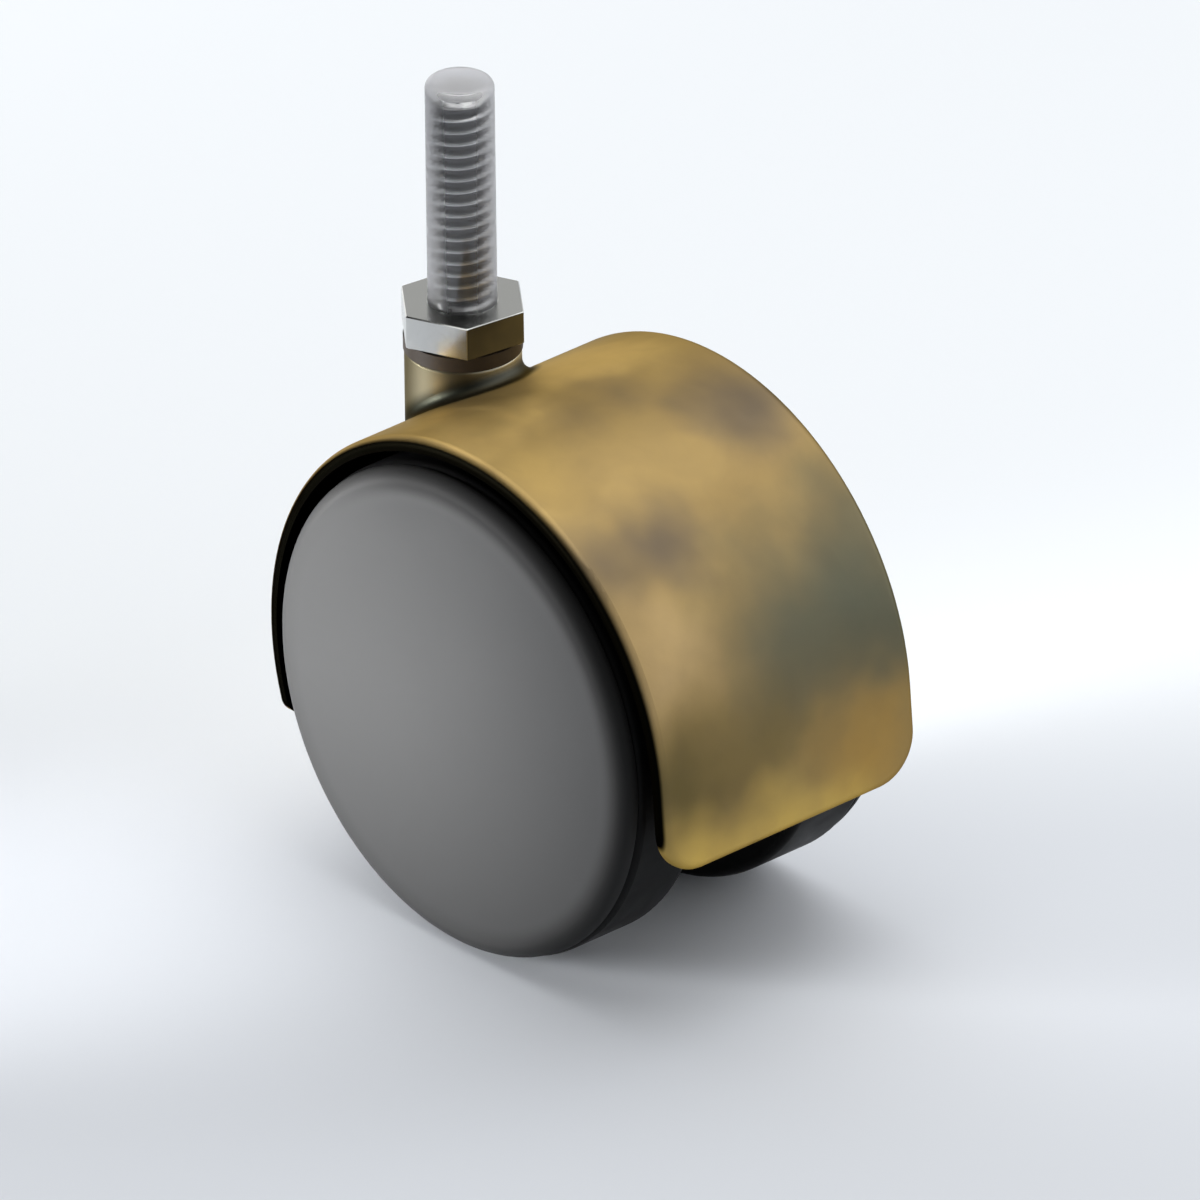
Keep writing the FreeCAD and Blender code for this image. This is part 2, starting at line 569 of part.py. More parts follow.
def draw_web_section(sketch):
    """Draw the plate between the wheels: it ends in the hood's wall and stops clear of the pintle's end."""
    radius = worked.hood_middle_radius
    centre = Vector(sizes.hood_centre_forward, sizes.hood_centre_rise, 0)
    front = -math.asin(sizes.centre_web_drop / radius)
    back = math.pi - math.asin(worked.socket_end_rise / radius)
    whole = Part.Circle(centre, Z_AXIS, radius)
    arc = sketch.addGeometry(Part.ArcOfCircle(whole, front, back))
    step_top = Vector(worked.web_back, worked.socket_end_rise, 0)
    step_foot = Vector(worked.web_back, -sizes.centre_web_drop, 0)
    back_end = Vector(-radius, worked.socket_end_rise, 0)
    front_end = Vector(radius, -sizes.centre_web_drop, 0)
    upper_line = sketch.addGeometry(Part.LineSegment(back_end, step_top))
    step_line = sketch.addGeometry(Part.LineSegment(step_top, step_foot))
    lower_line = sketch.addGeometry(Part.LineSegment(step_foot, front_end))
    chain = [arc, upper_line, step_line, lower_line, arc]
    for first, second in zip(chain[:-1], chain[1:]):
        sketch.addConstraint(Sketcher.Constraint("Coincident", first, 2, second, 1))
    sketch.addConstraint(Sketcher.Constraint("Horizontal", upper_line))
    sketch.addConstraint(Sketcher.Constraint("Vertical", step_line))
    sketch.addConstraint(Sketcher.Constraint("Horizontal", lower_line))
    hold(sketch, "DistanceX", arc, 3, "sizes.hood_centre_forward")
    hold(sketch, "DistanceY", arc, 3, "sizes.hood_centre_rise")
    hold(sketch, "DistanceY", arc, 1, "-sizes.centre_web_drop")
    hold(sketch, "DistanceY", arc, 2, "worked.socket_end_rise")
    hold(sketch, "DistanceX", step_line, 1, "worked.web_back")
    hold_radius(sketch, arc, radius, "worked.hood_middle_radius")


def hood_casting():
    """One die-cast piece: hood, neck with its socket, plate between the wheels and axle boss."""
    body = new_body("hood_casting")
    arch = sketch_on(body, "arch_section")
    draw_hood_section(arch)
    padded(body, "arch", arch, "worked.hood_width", both_ways=True)

    def is_foot_edge(edge):
        start, end = edge.Vertexes[0].Point, edge.Vertexes[-1].Point
        through_wall = abs(start.y - end.y) < NEAR and abs(start.z - end.z) < NEAR
        return through_wall and abs(abs(start.y) - worked.hood_half_width) < NEAR

    def is_front_corner(edge):
        return is_foot_edge(edge) and edge.CenterOfMass.x > 0

    def is_back_corner(edge):
        return is_foot_edge(edge) and edge.CenterOfMass.x < 0

    finished_edges(body, "front_corners", "Fillet", is_front_corner, "sizes.front_corner_radius")
    finished_edges(body, "back_corners", "Fillet", is_back_corner, "sizes.back_corner_radius")

    flat_faces = [face for face in body.Shape.Faces if isinstance(face.Surface, Part.Plane)]
    front_face = max(flat_faces, key=lambda face: face.CenterOfMass.x)

    round_faces = [face for face in body.Shape.Faces if isinstance(face.Surface, Part.Cylinder)]
    arch_faces = [face for face in round_faces if abs(face.Surface.Radius - worked.hood_radius) < NEAR]
    outer_faces = arch_faces + [front_face]
    outer_edges = [edge for face in outer_faces for edge in face.OuterWire.Edges]

    def is_rim_edge(edge):
        return sum(1 for other in outer_edges if lie_together(edge, other)) == 1

    finished_edges(body, "rim_edges", "Fillet", is_rim_edge, "sizes.rim_edge_radius")

    web = sketch_on(body, "web_section")
    draw_web_section(web)
    padded(body, "centre_web", web, "sizes.centre_web_thickness", both_ways=True)

    neck = sketch_on(body, "neck_outline", "XY_Plane", "worked.socket_end_rise")
    circle(neck, "sizes.neck_radius", "-sizes.swivel_offset")
    padded(body, "neck", neck, "sizes.socket_length")

    def off_neck_axis(point):
        return abs(math.hypot(point.x + sizes.swivel_offset, point.y) - sizes.neck_radius)

    def off_hood(point):
        across = point.x - sizes.hood_centre_forward
        up = point.z - sizes.hood_centre_rise
        return abs(math.hypot(across, up) - worked.hood_radius)

    def is_neck_root(edge):
        points = edge.discretize(Number=SAMPLES_ON_EDGE)
        return all(off_neck_axis(point) < ROUGHLY and off_hood(point) < ROUGHLY for point in points)

    finished_edges(body, "neck_blend", "Fillet", is_neck_root, "sizes.neck_blend_radius")

    def is_neck_edge(edge):
        return is_ring(edge, sizes.neck_radius, worked.neck_height, (-sizes.swivel_offset, 0.0))

    finished_edges(body, "neck_edge", "Fillet", is_neck_edge, "sizes.neck_edge_radius")

    boss = sketch_on(body, "boss_outline")
    circle(boss, "sizes.boss_radius")
    padded(body, "axle_boss", boss, "worked.boss_length", both_ways=True)

    axle_bore = sketch_on(body, "axle_bore_outline")
    circle(axle_bore, "worked.axle_radius")
    pocketed(body, "axle_bore", axle_bore, "worked.boss_length", both_ways=True)

    socket = sketch_on(body, "socket_outline", "XY_Plane", "worked.socket_end_rise")
    circle(socket, "worked.socket_bore_radius", "-sizes.swivel_offset")
    pocketed(body, "socket", socket, "sizes.socket_length", turned_over=True)
    place_at_axle(body)
    return body


def axle_pin():
    """Steel pin pressed through the axle boss, with a clip groove near each end."""
    body = new_body("axle_pin")
    half_section = [
        ("0", "-worked.axle_half_length"),
        ("worked.axle_radius - sizes.axle_end_chamfer", "-worked.axle_half_length"),
        ("worked.axle_radius", "-worked.axle_half_length + sizes.axle_end_chamfer"),
        ("worked.axle_radius", "-worked.axle_groove_end"),
        ("worked.axle_groove_radius", "-worked.axle_groove_end"),
        ("worked.axle_groove_radius", "-worked.axle_clip_face"),
        ("worked.axle_radius", "-worked.axle_clip_face"),
    ]
    other_half = [(across, f"-({up})") for across, up in reversed(half_section)]
    turned(body, "pin", half_section + other_half)
    place_at_axle(body, side=1)
    return body


def spacer_washer(side, label):
    """Washer on the axle between the axle boss and a hub."""
    body = new_body(label)
    low = "worked.spacer_inner_face"
    high = "worked.spacer_outer_face"
    ring(body, "washer", "worked.bush_bore_radius", "worked.spacer_radius", low, high)
    place_at_axle(body, side)
    return body


def axle_clip(side, label):
    """Clip in the axle's groove that holds a wheel on."""
    low = "worked.axle_clip_face"
    high = "worked.axle_groove_end"
    body = retaining_clip(label, "worked.axle_groove_radius", "worked.axle_clip_radius", low, high)
    place_at_axle(body, side)
    return body


def wheel_core(side, label):
    """Moulded wheel: hub, disc wall, ribs on its inner side and a rim with a ridge for the tyre."""
    body = new_body(label)
    turned(body, "wheel", [
        ("worked.bush_radius", "worked.hub_inner_end"),
        ("worked.hub_radius", "worked.hub_inner_end"),
        ("worked.hub_radius", "worked.disc_inner_face"),
        ("worked.rim_bore_radius", "worked.disc_inner_face"),
        ("worked.rim_bore_radius", "worked.rim_inner_edge"),
        ("worked.rim_radius", "worked.rim_inner_edge"),
        ("worked.rim_radius", "worked.key_inner_edge"),
        ("worked.key_radius", "worked.key_inner_edge"),
        ("worked.key_radius", "worked.key_outer_edge"),
        ("worked.rim_radius", "worked.key_outer_edge"),
        ("worked.rim_radius", "worked.rim_outer_edge"),
        ("worked.rim_bore_radius", "worked.rim_outer_edge"),
        ("worked.rim_bore_radius", "worked.disc_outer_face"),
        ("worked.hub_radius", "worked.disc_outer_face"),
        ("worked.hub_radius", "worked.hub_outer_end"),
        ("worked.bush_radius", "worked.hub_outer_end"),
    ])
    rib_outline = sketch_on(body, "rib_outline", "XY_Plane", "worked.rib_edge")
    hub_side = "(worked.bush_radius + worked.hub_radius) / 2"
    rim_side = "(worked.rim_bore_radius + worked.rim_radius) / 2"
    outline(rib_outline, [
        (hub_side, "-sizes.rib_thickness / 2"),
        (rim_side, "-sizes.rib_thickness / 2"),
        (rim_side, "sizes.rib_thickness / 2"),
        (hub_side, "sizes.rib_thickness / 2"),
    ])
    rib = padded(body, "rib", rib_outline, "sizes.rib_depth + sizes.disc_thickness / 2")
    ribs = body.newObject("PartDesign::PolarPattern", "ribs")
    ribs.Originals = [rib]
    ribs.Axis = (rib_outline, ["N_Axis"])
    ribs.Angle = FULL_TURN
    ribs.setExpression("Occurrences", "sizes.rib_count")
    body.Tip = ribs
    place_at_axle(body, side)
    return body


def hub_bush(side, label):
    """Plain bush pressed into a hub, turning on the axle."""
    body = new_body(label)
    low = "worked.hub_inner_end"
    high = "worked.hub_outer_end"
    ring(body, "bush", "worked.bush_bore_radius", "worked.bush_radius", low, high)
    place_at_axle(body, side)
    return body


def tyre(side, label):
    """Tyre moulded round the rim, keyed over the rim's ridge, with rounded tread edges."""
    body = new_body(label)
    turned(body, "tyre", [
        ("worked.rim_radius", "sizes.wheel_inner_face"),
        ("worked.wheel_radius", "sizes.wheel_inner_face"),
        ("worked.wheel_radius", "worked.tyre_outer_face"),
        ("worked.rim_radius", "worked.tyre_outer_face"),
        ("worked.rim_radius", "worked.key_outer_edge"),
        ("worked.key_radius", "worked.key_outer_edge"),
        ("worked.key_radius", "worked.key_inner_edge"),
        ("worked.rim_radius", "worked.key_inner_edge"),
    ])

    def is_tread_edge(edge):
        inner = is_ring(edge, worked.wheel_radius, sizes.wheel_inner_face)
        return inner or is_ring(edge, worked.wheel_radius, worked.tyre_outer_face)

    finished_edges(body, "tread_edges", "Fillet", is_tread_edge, "sizes.tyre_edge_radius")
    place_at_axle(body, side)
    return body


def face_cover(side, label):
    """Slightly crowned cover over a wheel's outer side, with a ring that snaps into the rim."""
    body = new_body(label)
    section = sketch_on(body, "cover_section")
    crown = sizes.cover_crown
    reach = worked.cover_radius
    crown_radius = (reach**2 + crown**2) / (2 * crown)
    centre = Vector(0, worked.cover_middle - crown_radius, 0)
    edge_angle = math.acos(reach / crown_radius)
    sphere = Part.Circle(centre, Z_AXIS, crown_radius)
    face_arc = section.addGeometry(Part.ArcOfCircle(sphere, edge_angle, math.pi / 2))
    ring_profile = [
        ("plug_bore_radius", "cover_inside"),
        ("plug_bore_radius", "plug_edge"),
        ("plug_radius", "plug_edge"),
        ("plug_radius", "tyre_outer_face"),
        ("cover_radius", "tyre_outer_face"),
        ("cover_radius", "cover_face"),
    ]
    foot = Vector(0, worked.cover_inside, 0)
    lines = [section.addGeometry(Part.LineSegment(Vector(0, worked.cover_middle, 0), foot))]
    for across, up in ring_profile:
        corner = Vector(getattr(worked, across), getattr(worked, up), 0)
        lines.append(section.addGeometry(Part.LineSegment(foot, corner)))
        foot = corner
    for first, second in zip(lines[:-1], lines[1:]):
        section.addConstraint(Sketcher.Constraint("Coincident", first, 2, second, 1))
    section.addConstraint(Sketcher.Constraint("Coincident", lines[-1], 2, face_arc, 1))
    section.addConstraint(Sketcher.Constraint("Coincident", face_arc, 2, lines[0], 1))
    section.addConstraint(Sketcher.Constraint("PointOnObject", face_arc, 3, -2))
    hold(section, "DistanceX", face_arc, 2, "0")
    hold(section, "DistanceY", face_arc, 2, "worked.cover_middle")
    hold(section, "DistanceX", lines[0], 2, "0")
    hold(section, "DistanceY", lines[0], 2, "worked.cover_inside")
    for line, (across, up) in zip(lines[1:], ring_profile):
        hold(section, "DistanceX", line, 2, f"worked.{across}")
        hold(section, "DistanceY", line, 2, f"worked.{up}")
    cover = body.newObject("PartDesign::Revolution", "cover")
    cover.Profile = section
    cover.ReferenceAxis = (section, ["V_Axis"])
    cover.Angle = FULL_TURN
    DOCUMENT.recompute()

    def is_face_edge(edge):
        return is_ring(edge, worked.cover_radius, worked.cover_face)

    finished_edges(body, "cover_edge", "Fillet", is_face_edge, "sizes.cover_edge_radius")
    place_at_axle(body, side)
    return body


def export(nodes):
    """Check every object and every node's shape, then write each node to its own STEP file."""
    DOCUMENT.recompute()
    failed = [item.Label for item in DOCUMENT.Objects if {"Invalid", "Error"} & set(item.State)]
    if failed:
        raise ValueError(f"objects failed: {failed}")
    for node in nodes:
        if node.Shape.isNull() or not node.Shape.isValid() or node.Shape.Volume <= 0:
            raise ValueError(f"{node.Label}: its shape is not a valid solid")
    os.makedirs("parts", exist_ok=True)
    for node in nodes:
        node.Shape.exportStep(f"parts/{node.Label}.step")
        print(node.Label, len(node.Shape.Solids), round(node.Shape.Volume, 2))


def main():
    """Build the castor's pieces; the right-hand wheel is on the -Y side."""
    nodes = [
        threaded_stem(),
        thread_protector(),
        upper_swivel_bush(),
        lower_swivel_bush(),
        swivel_washer(),
        swivel_clip(),
        hood_casting(),
        axle_pin(),
    ]
    for side, hand in ((-1, "right"), (1, "left")):
        nodes += [
            spacer_washer(side, f"{hand}_spacer_washer"),
            wheel_core(side, f"{hand}_wheel_core"),
            hub_bush(side, f"{hand}_hub_bush"),
            tyre(side, f"{hand}_tyre"),
            axle_clip(side, f"{hand}_axle_clip"),
            face_cover(side, f"{hand}_face_cover"),
        ]
    export(nodes)


main()
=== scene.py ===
"""Finished look of a twin wheel furniture castor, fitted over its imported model.

Everything is in metres in the model's own frame: +Z up along the threaded stem, +X forward from the stem to
the wheels, +Y along the axle, with the origin on the stem's axis at the collar's seating face.
"""

from __future__ import annotations

import json
import logging
import math
from dataclasses import dataclass, field
from enum import Enum
from typing import Iterable

import bmesh
import bpy
from mathutils import Matrix, Vector

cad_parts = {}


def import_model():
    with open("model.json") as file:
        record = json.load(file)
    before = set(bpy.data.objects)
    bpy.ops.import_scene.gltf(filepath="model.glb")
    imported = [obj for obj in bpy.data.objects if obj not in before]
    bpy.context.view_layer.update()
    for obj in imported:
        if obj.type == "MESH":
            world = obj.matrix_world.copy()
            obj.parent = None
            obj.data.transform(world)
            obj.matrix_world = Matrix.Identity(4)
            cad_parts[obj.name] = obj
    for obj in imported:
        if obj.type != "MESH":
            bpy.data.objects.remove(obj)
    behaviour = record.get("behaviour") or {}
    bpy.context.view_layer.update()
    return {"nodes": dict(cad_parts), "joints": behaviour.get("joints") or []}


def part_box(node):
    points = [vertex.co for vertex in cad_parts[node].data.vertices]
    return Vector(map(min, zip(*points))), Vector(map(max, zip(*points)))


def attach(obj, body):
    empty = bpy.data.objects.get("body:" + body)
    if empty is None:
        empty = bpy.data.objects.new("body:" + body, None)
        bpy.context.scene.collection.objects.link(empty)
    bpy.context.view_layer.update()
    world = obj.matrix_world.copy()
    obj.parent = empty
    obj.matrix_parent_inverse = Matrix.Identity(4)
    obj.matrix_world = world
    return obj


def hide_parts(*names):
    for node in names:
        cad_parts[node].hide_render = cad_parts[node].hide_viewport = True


log = logging.getLogger("castor")

MM = 0.001
TOUCHING = 1e-7
FULL_TURN = 2.0 * math.pi
HEXAGON = 6
IMAGE_SIDE = 1200
SENSOR_WIDTH = 36.0

Socket = bpy.types.NodeSocket
Node = bpy.types.Node
Tree = bpy.types.NodeTree
Material = bpy.types.Material
Piece = bpy.types.Object
Point = bmesh.types.BMVert
Edge = bmesh.types.BMEdge
Colour = tuple[float, float, float]
Triple = tuple[float, float, float]
Band = tuple[float, float]
Profile = list[tuple[float, float]]

GIVES_NUMBER = ("DOT_PRODUCT", "LENGTH", "DISTANCE")
ORIGIN: Triple = (0.0, 0.0, 0.0)
ALONG_STEM: Triple = (0.0, 0.0, 1.0)
ALONG_AXLE: Triple = (0.0, 1.0, 0.0)
ACROSS_STEM: Triple = (1.0, 1.0, 0.0)
ACROSS_AXLE: Triple = (1.0, 0.0, 1.0)


def display(*parts: int) -> Colour:
    """Turn a colour as a screen shows it into a shader's linear values, by the sRGB curve.

    Args:
        parts: red, green and blue, from 0 to 255.

    Returns:
        The linear values, from 0 to 1.
    """

    def linear(value: int) -> float:
        """Turn one part of the colour."""
        share = value / 255.0
        return share / 12.92 if share <= 0.04045 else ((share + 0.055) / 1.055) ** 2.4

    return tuple(linear(value) for value in parts)


def beyond(base: float, band: Band) -> Band:
    """Give a band's start and end, moved out by a base."""
    return base + band[0], base + band[1]


class Shader:
    """A material while it is built: its node tree, its Principled shader and short calls for both."""

    def __init__(self, name: str, tree: Tree | None = None) -> None:
        """Start a material, or wrap a node group's tree.

        Args:
            name: the material's name.
            tree: a node group's tree; when given, no material is made.
        """
        self.surface: Node | None = None
        if tree is None:
            self.material = bpy.data.materials.new(name)
            self.material.use_nodes = True
            tree = self.material.node_tree
            self.surface = tree.nodes["Principled BSDF"]
        self.tree = tree

    def add(self, kind: str, **settings: object) -> Node:
        """Add a node.

        Args:
            kind: the node's type without the ShaderNode prefix.
            settings: node properties to set.

        Returns:
            The new node.
        """
        node = self.tree.nodes.new(f"ShaderNode{kind}")
        for name, value in settings.items():
            setattr(node, name, value)
        return node

    def join(self, source: Socket, target: Socket) -> None:
        """Link an output to an input."""
        self.tree.links.new(source, target)

    def feed(self, target: Socket, value: object) -> None:
        """Link a socket to an input, or write a plain value on it.

        Args:
            target: the input.
            value: a socket, a number or a tuple.
        """
        if isinstance(value, Socket):
            self.join(value, target)
        elif isinstance(value, tuple) and len(target.default_value) == 4:
            target.default_value = (*value, 1.0)
        else:
            target.default_value = value

    def place(self) -> Socket:
        """Give the point on the surface in the model's frame."""
        return self.add("TexCoord").outputs["Object"]

    def maths(self, operation: str, *values: object) -> Socket:
        """Apply a scalar operation.

        Args:
            operation: the Math node's operation.
            values: sockets or numbers, in the order of the node's inputs.

        Returns:
            The result.
        """
        node = self.add("Math", operation=operation)
        for target, value in zip(node.inputs, values):
            self.feed(target, value)
        return node.outputs[0]

    def vector(self, operation: str, *values: object) -> Socket:
        """Apply a vector operation.

        Args:
            operation: the Vector Math node's operation.
            values: sockets or triples, in the order of the node's inputs.

        Returns:
            The result, a number or a vector as the operation gives.
        """
        node = self.add("VectorMath", operation=operation)
        for target, value in zip(node.inputs, values):
            self.feed(target, value)
        return node.outputs["Value" if operation in GIVES_NUMBER else "Vector"]

    def from_axis(self, place: Socket, middle: Triple, across: Triple) -> Socket:
        """Give the distance from the line through middle that runs along the axis where across is 0."""
        offset = self.vector("SUBTRACT", place, middle)
        return self.vector("LENGTH", self.vector("MULTIPLY", offset, across))

    def fade(self, value: Socket, start: float, end: float, low: float = 0.0, high: float = 1.0) -> Socket:
        """Map a value smoothly from low, at start, to high, at end.

        Args:
            value: the value to map.
            start: value that gives low.
            end: value that gives high.
            low: result at start.
            high: result at end.

        Returns:
            The mapped value, held between low and high.
        """
        node = self.add("MapRange", interpolation_type="SMOOTHSTEP")
        for name, number in (("From Min", start), ("From Max", end), ("To Min", low), ("To Max", high)):
            node.inputs[name].default_value = number
        self.join(value, node.inputs["Value"])
        return node.outputs["Result"]

    def blend(self, share: object, first: object, second: object) -> Socket:
        """Mix two colours.

        Args:
            share: how much of the second colour, a socket or a number.
            first: the colour at a share of 0.
            second: the colour at a share of 1.

        Returns:
            The mixed colour.
        """
        node = self.add("Mix", data_type="RGBA")
        self.feed(node.inputs["Factor"], share)
        colours = [socket for socket in node.inputs if socket.type == "RGBA"]
        self.feed(colours[0], first)
        self.feed(colours[1], second)
        return next(socket for socket in node.outputs if socket.type == "RGBA")

    def group(self, tree: Tree, **values: object) -> Node:
        """Place a node group.

        Args:
            tree: the group.
            values: its inputs by name.

        Returns:
            The group node.
        """
        node = self.add("Group", node_tree=tree)
        for name, value in values.items():
            self.feed(node.inputs[name], value)
        return node

    def set(self, **values: object) -> None:
        """Feed the Principled shader's inputs; a name's underscores stand for spaces."""
        for name, value in values.items():
            self.feed(self.surface.inputs[name.replace("_", " ")], value)


class SharedEffects:
    """The effects that several finishes use, each a node group that is built once."""

    def __init__(self) -> None:
        """Build the groups."""
        self.clouds = self._clouds()
        self.grain = self._grain()

    @staticmethod
    def _open(name: str, setting: str, outputs: dict[str, str], detail: float, bend: float = 0.0) -> tuple:
        """Start a group that takes a place, a scale and one setting, and that holds a noise.

        Args:
            name: the group's name.
            setting: the third input's name.
            outputs: output name to its socket type's last word.
            detail: how many finer layers the noise has.
            bend: how far the noise is distorted.

        Returns:
            A Shader that wraps the group, the noise's mask, the input node and the output node.
        """
        tree = bpy.data.node_groups.new(name, "ShaderNodeTree")
        for label, kind in (("Place", "Vector"), ("Scale", "Float"), (setting, "Float")):
            tree.interface.new_socket(label, in_out="INPUT", socket_type=f"NodeSocket{kind}")
        for label, kind in outputs.items():
            tree.interface.new_socket(label, in_out="OUTPUT", socket_type=f"NodeSocket{kind}")
        shader = Shader(name, tree)
        start = tree.nodes.new("NodeGroupInput")
        end = tree.nodes.new("NodeGroupOutput")
        noise = shader.add("TexNoise")
        noise.inputs["Detail"].default_value = detail
        noise.inputs["Distortion"].default_value = bend
        shader.join(start.outputs["Place"], noise.inputs["Vector"])
        shader.join(start.outputs["Scale"], noise.inputs["Scale"])
        return shader, noise.outputs["Fac"], start, end

    def _clouds(self) -> Tree:
        """Build soft clouds: a slow noise as a mask from 0 to 1, sharper with more contrast.

        Returns:
            The group.
        """
        shader, mask, start, end = self._open("soft_clouds", "Contrast", {"Mask": "Float"}, 4.0, 0.6)
        centred = shader.maths("SUBTRACT", mask, 0.5)
        spread = shader.maths("MULTIPLY_ADD", centred, start.outputs["Contrast"], 0.5)
        held = shader.add("Clamp")
        shader.join(spread, held.inputs["Value"])
        shader.join(held.outputs[0], end.inputs["Mask"])
        return shader.tree

    def _grain(self) -> Tree:
        """Build fine grain: a tight noise as a bumped normal and as a mask from 0 to 1.

        Returns:
            The group.
        """
        outputs = {"Mask": "Float", "Normal": "Vector"}
        shader, mask, start, end = self._open("fine_grain", "Depth", outputs, 3.0)
        bump = shader.add("Bump")
        bump.inputs["Distance"].default_value = 0.02 * MM
        shader.join(start.outputs["Depth"], bump.inputs["Strength"])
        shader.join(mask, bump.inputs["Height"])
        shader.join(mask, end.inputs["Mask"])
        shader.join(bump.outputs["Normal"], end.inputs["Normal"])
        return shader.tree


class Tone(Enum):
    """Tones of the aged brass plate and of the light and shade painted on it, as a screen shows them."""

    GOLD = (161, 137, 89)
    GLOW = (222, 190, 122)
    BRIGHT = (184, 156, 94)
    STRAW = (210, 178, 94)
    AMBER = (176, 141, 76)
    TAN = (174, 150, 108)
    SMOKE = (103, 93, 80)
    MOSS = (84, 89, 78)
    PEAT = (90, 81, 50)
    PAINTED_SHADE_BLACK = (4, 4, 3)
    CREASE = (32, 35, 31)
    NECK_PAINTED_LIGHT = (228, 229, 214)
    NECK_PAINTED_SHADE = (84, 84, 74)

    @property
    def colour(self) -> Colour:
        """Give the tone's linear values."""
        return display(*self.value)


@dataclass(frozen=True)
class BrassCloud:
    """One soft cloud in the hood's plate; the clouds are partly patina and partly painted reflection,
    highlight and shade.

    turn is in degrees round the arch from level front, across and reach in millimetres.
    """

    turn: float
    across: float
    reach: float
    tone: Tone
    strength: float


# Clouds from turn 110 down are partly patina and partly painted reflection and shade; the brightest ones, at
# turns 92 to 108, are painted highlight where the neck's reflection darkens the plate. Those over the back
# are patina.
BRASS_CLOUDS_AND_PAINTED_LIGHT = tuple(BrassCloud(*row) for row in (
    (132.0, 11.0, 11.0, Tone.SMOKE, 0.6),
    (146.0, -9.0, 14.0, Tone.SMOKE, 0.55),
    (168.0, 8.0, 15.0, Tone.MOSS, 0.6),
    (190.0, -9.0, 13.0, Tone.PEAT, 0.6),
    (196.0, 12.0, 9.0, Tone.STRAW, 0.5),
    (102.0, -9.0, 10.0, Tone.GLOW, 1.0),
    (92.0, -15.0, 7.0, Tone.GLOW, 0.7),
    (108.0, 8.0, 14.0, Tone.GLOW, 0.75),
    (77.0, -13.0, 8.0, Tone.BRIGHT, 0.6),
    (89.0, -3.0, 5.5, Tone.SMOKE, 0.35),
    (89.0, 4.0, 5.5, Tone.SMOKE, 0.5),
    (71.0, 12.5, 10.0, Tone.SMOKE, 0.9),
    (75.0, 6.0, 5.0, Tone.SMOKE, 0.4),
    (52.0, -6.5, 8.5, Tone.SMOKE, 0.9),
    (50.0, -15.0, 8.5, Tone.SMOKE, 0.75),
    (30.0, -13.0, 9.0, Tone.TAN, 0.85),
    (26.0, 2.0, 15.0, Tone.MOSS, 0.8),
    (26.0, 12.0, 16.0, Tone.MOSS, 0.9),
    (44.0, 15.0, 9.0, Tone.MOSS, 0.5),
    (14.0, 15.0, 8.0, Tone.MOSS, 0.5),
    (3.0, -13.0, 12.0, Tone.PEAT, 0.8),
    (5.0, -2.0, 10.0, Tone.PEAT, 0.5),
    (-3.0, 10.0, 10.0, Tone.AMBER, 0.75),
    (-17.0, -12.0, 9.0, Tone.STRAW, 1.0),
    (-18.0, -3.0, 10.0, Tone.STRAW, 1.0),
    (-17.0, 6.0, 9.0, Tone.STRAW, 0.9),
))


class Finish:
    """A finish of one of the castor's pieces."""

    def material(self, effects: SharedEffects) -> Material:
        """Build the finish's material."""
        raise NotImplementedError


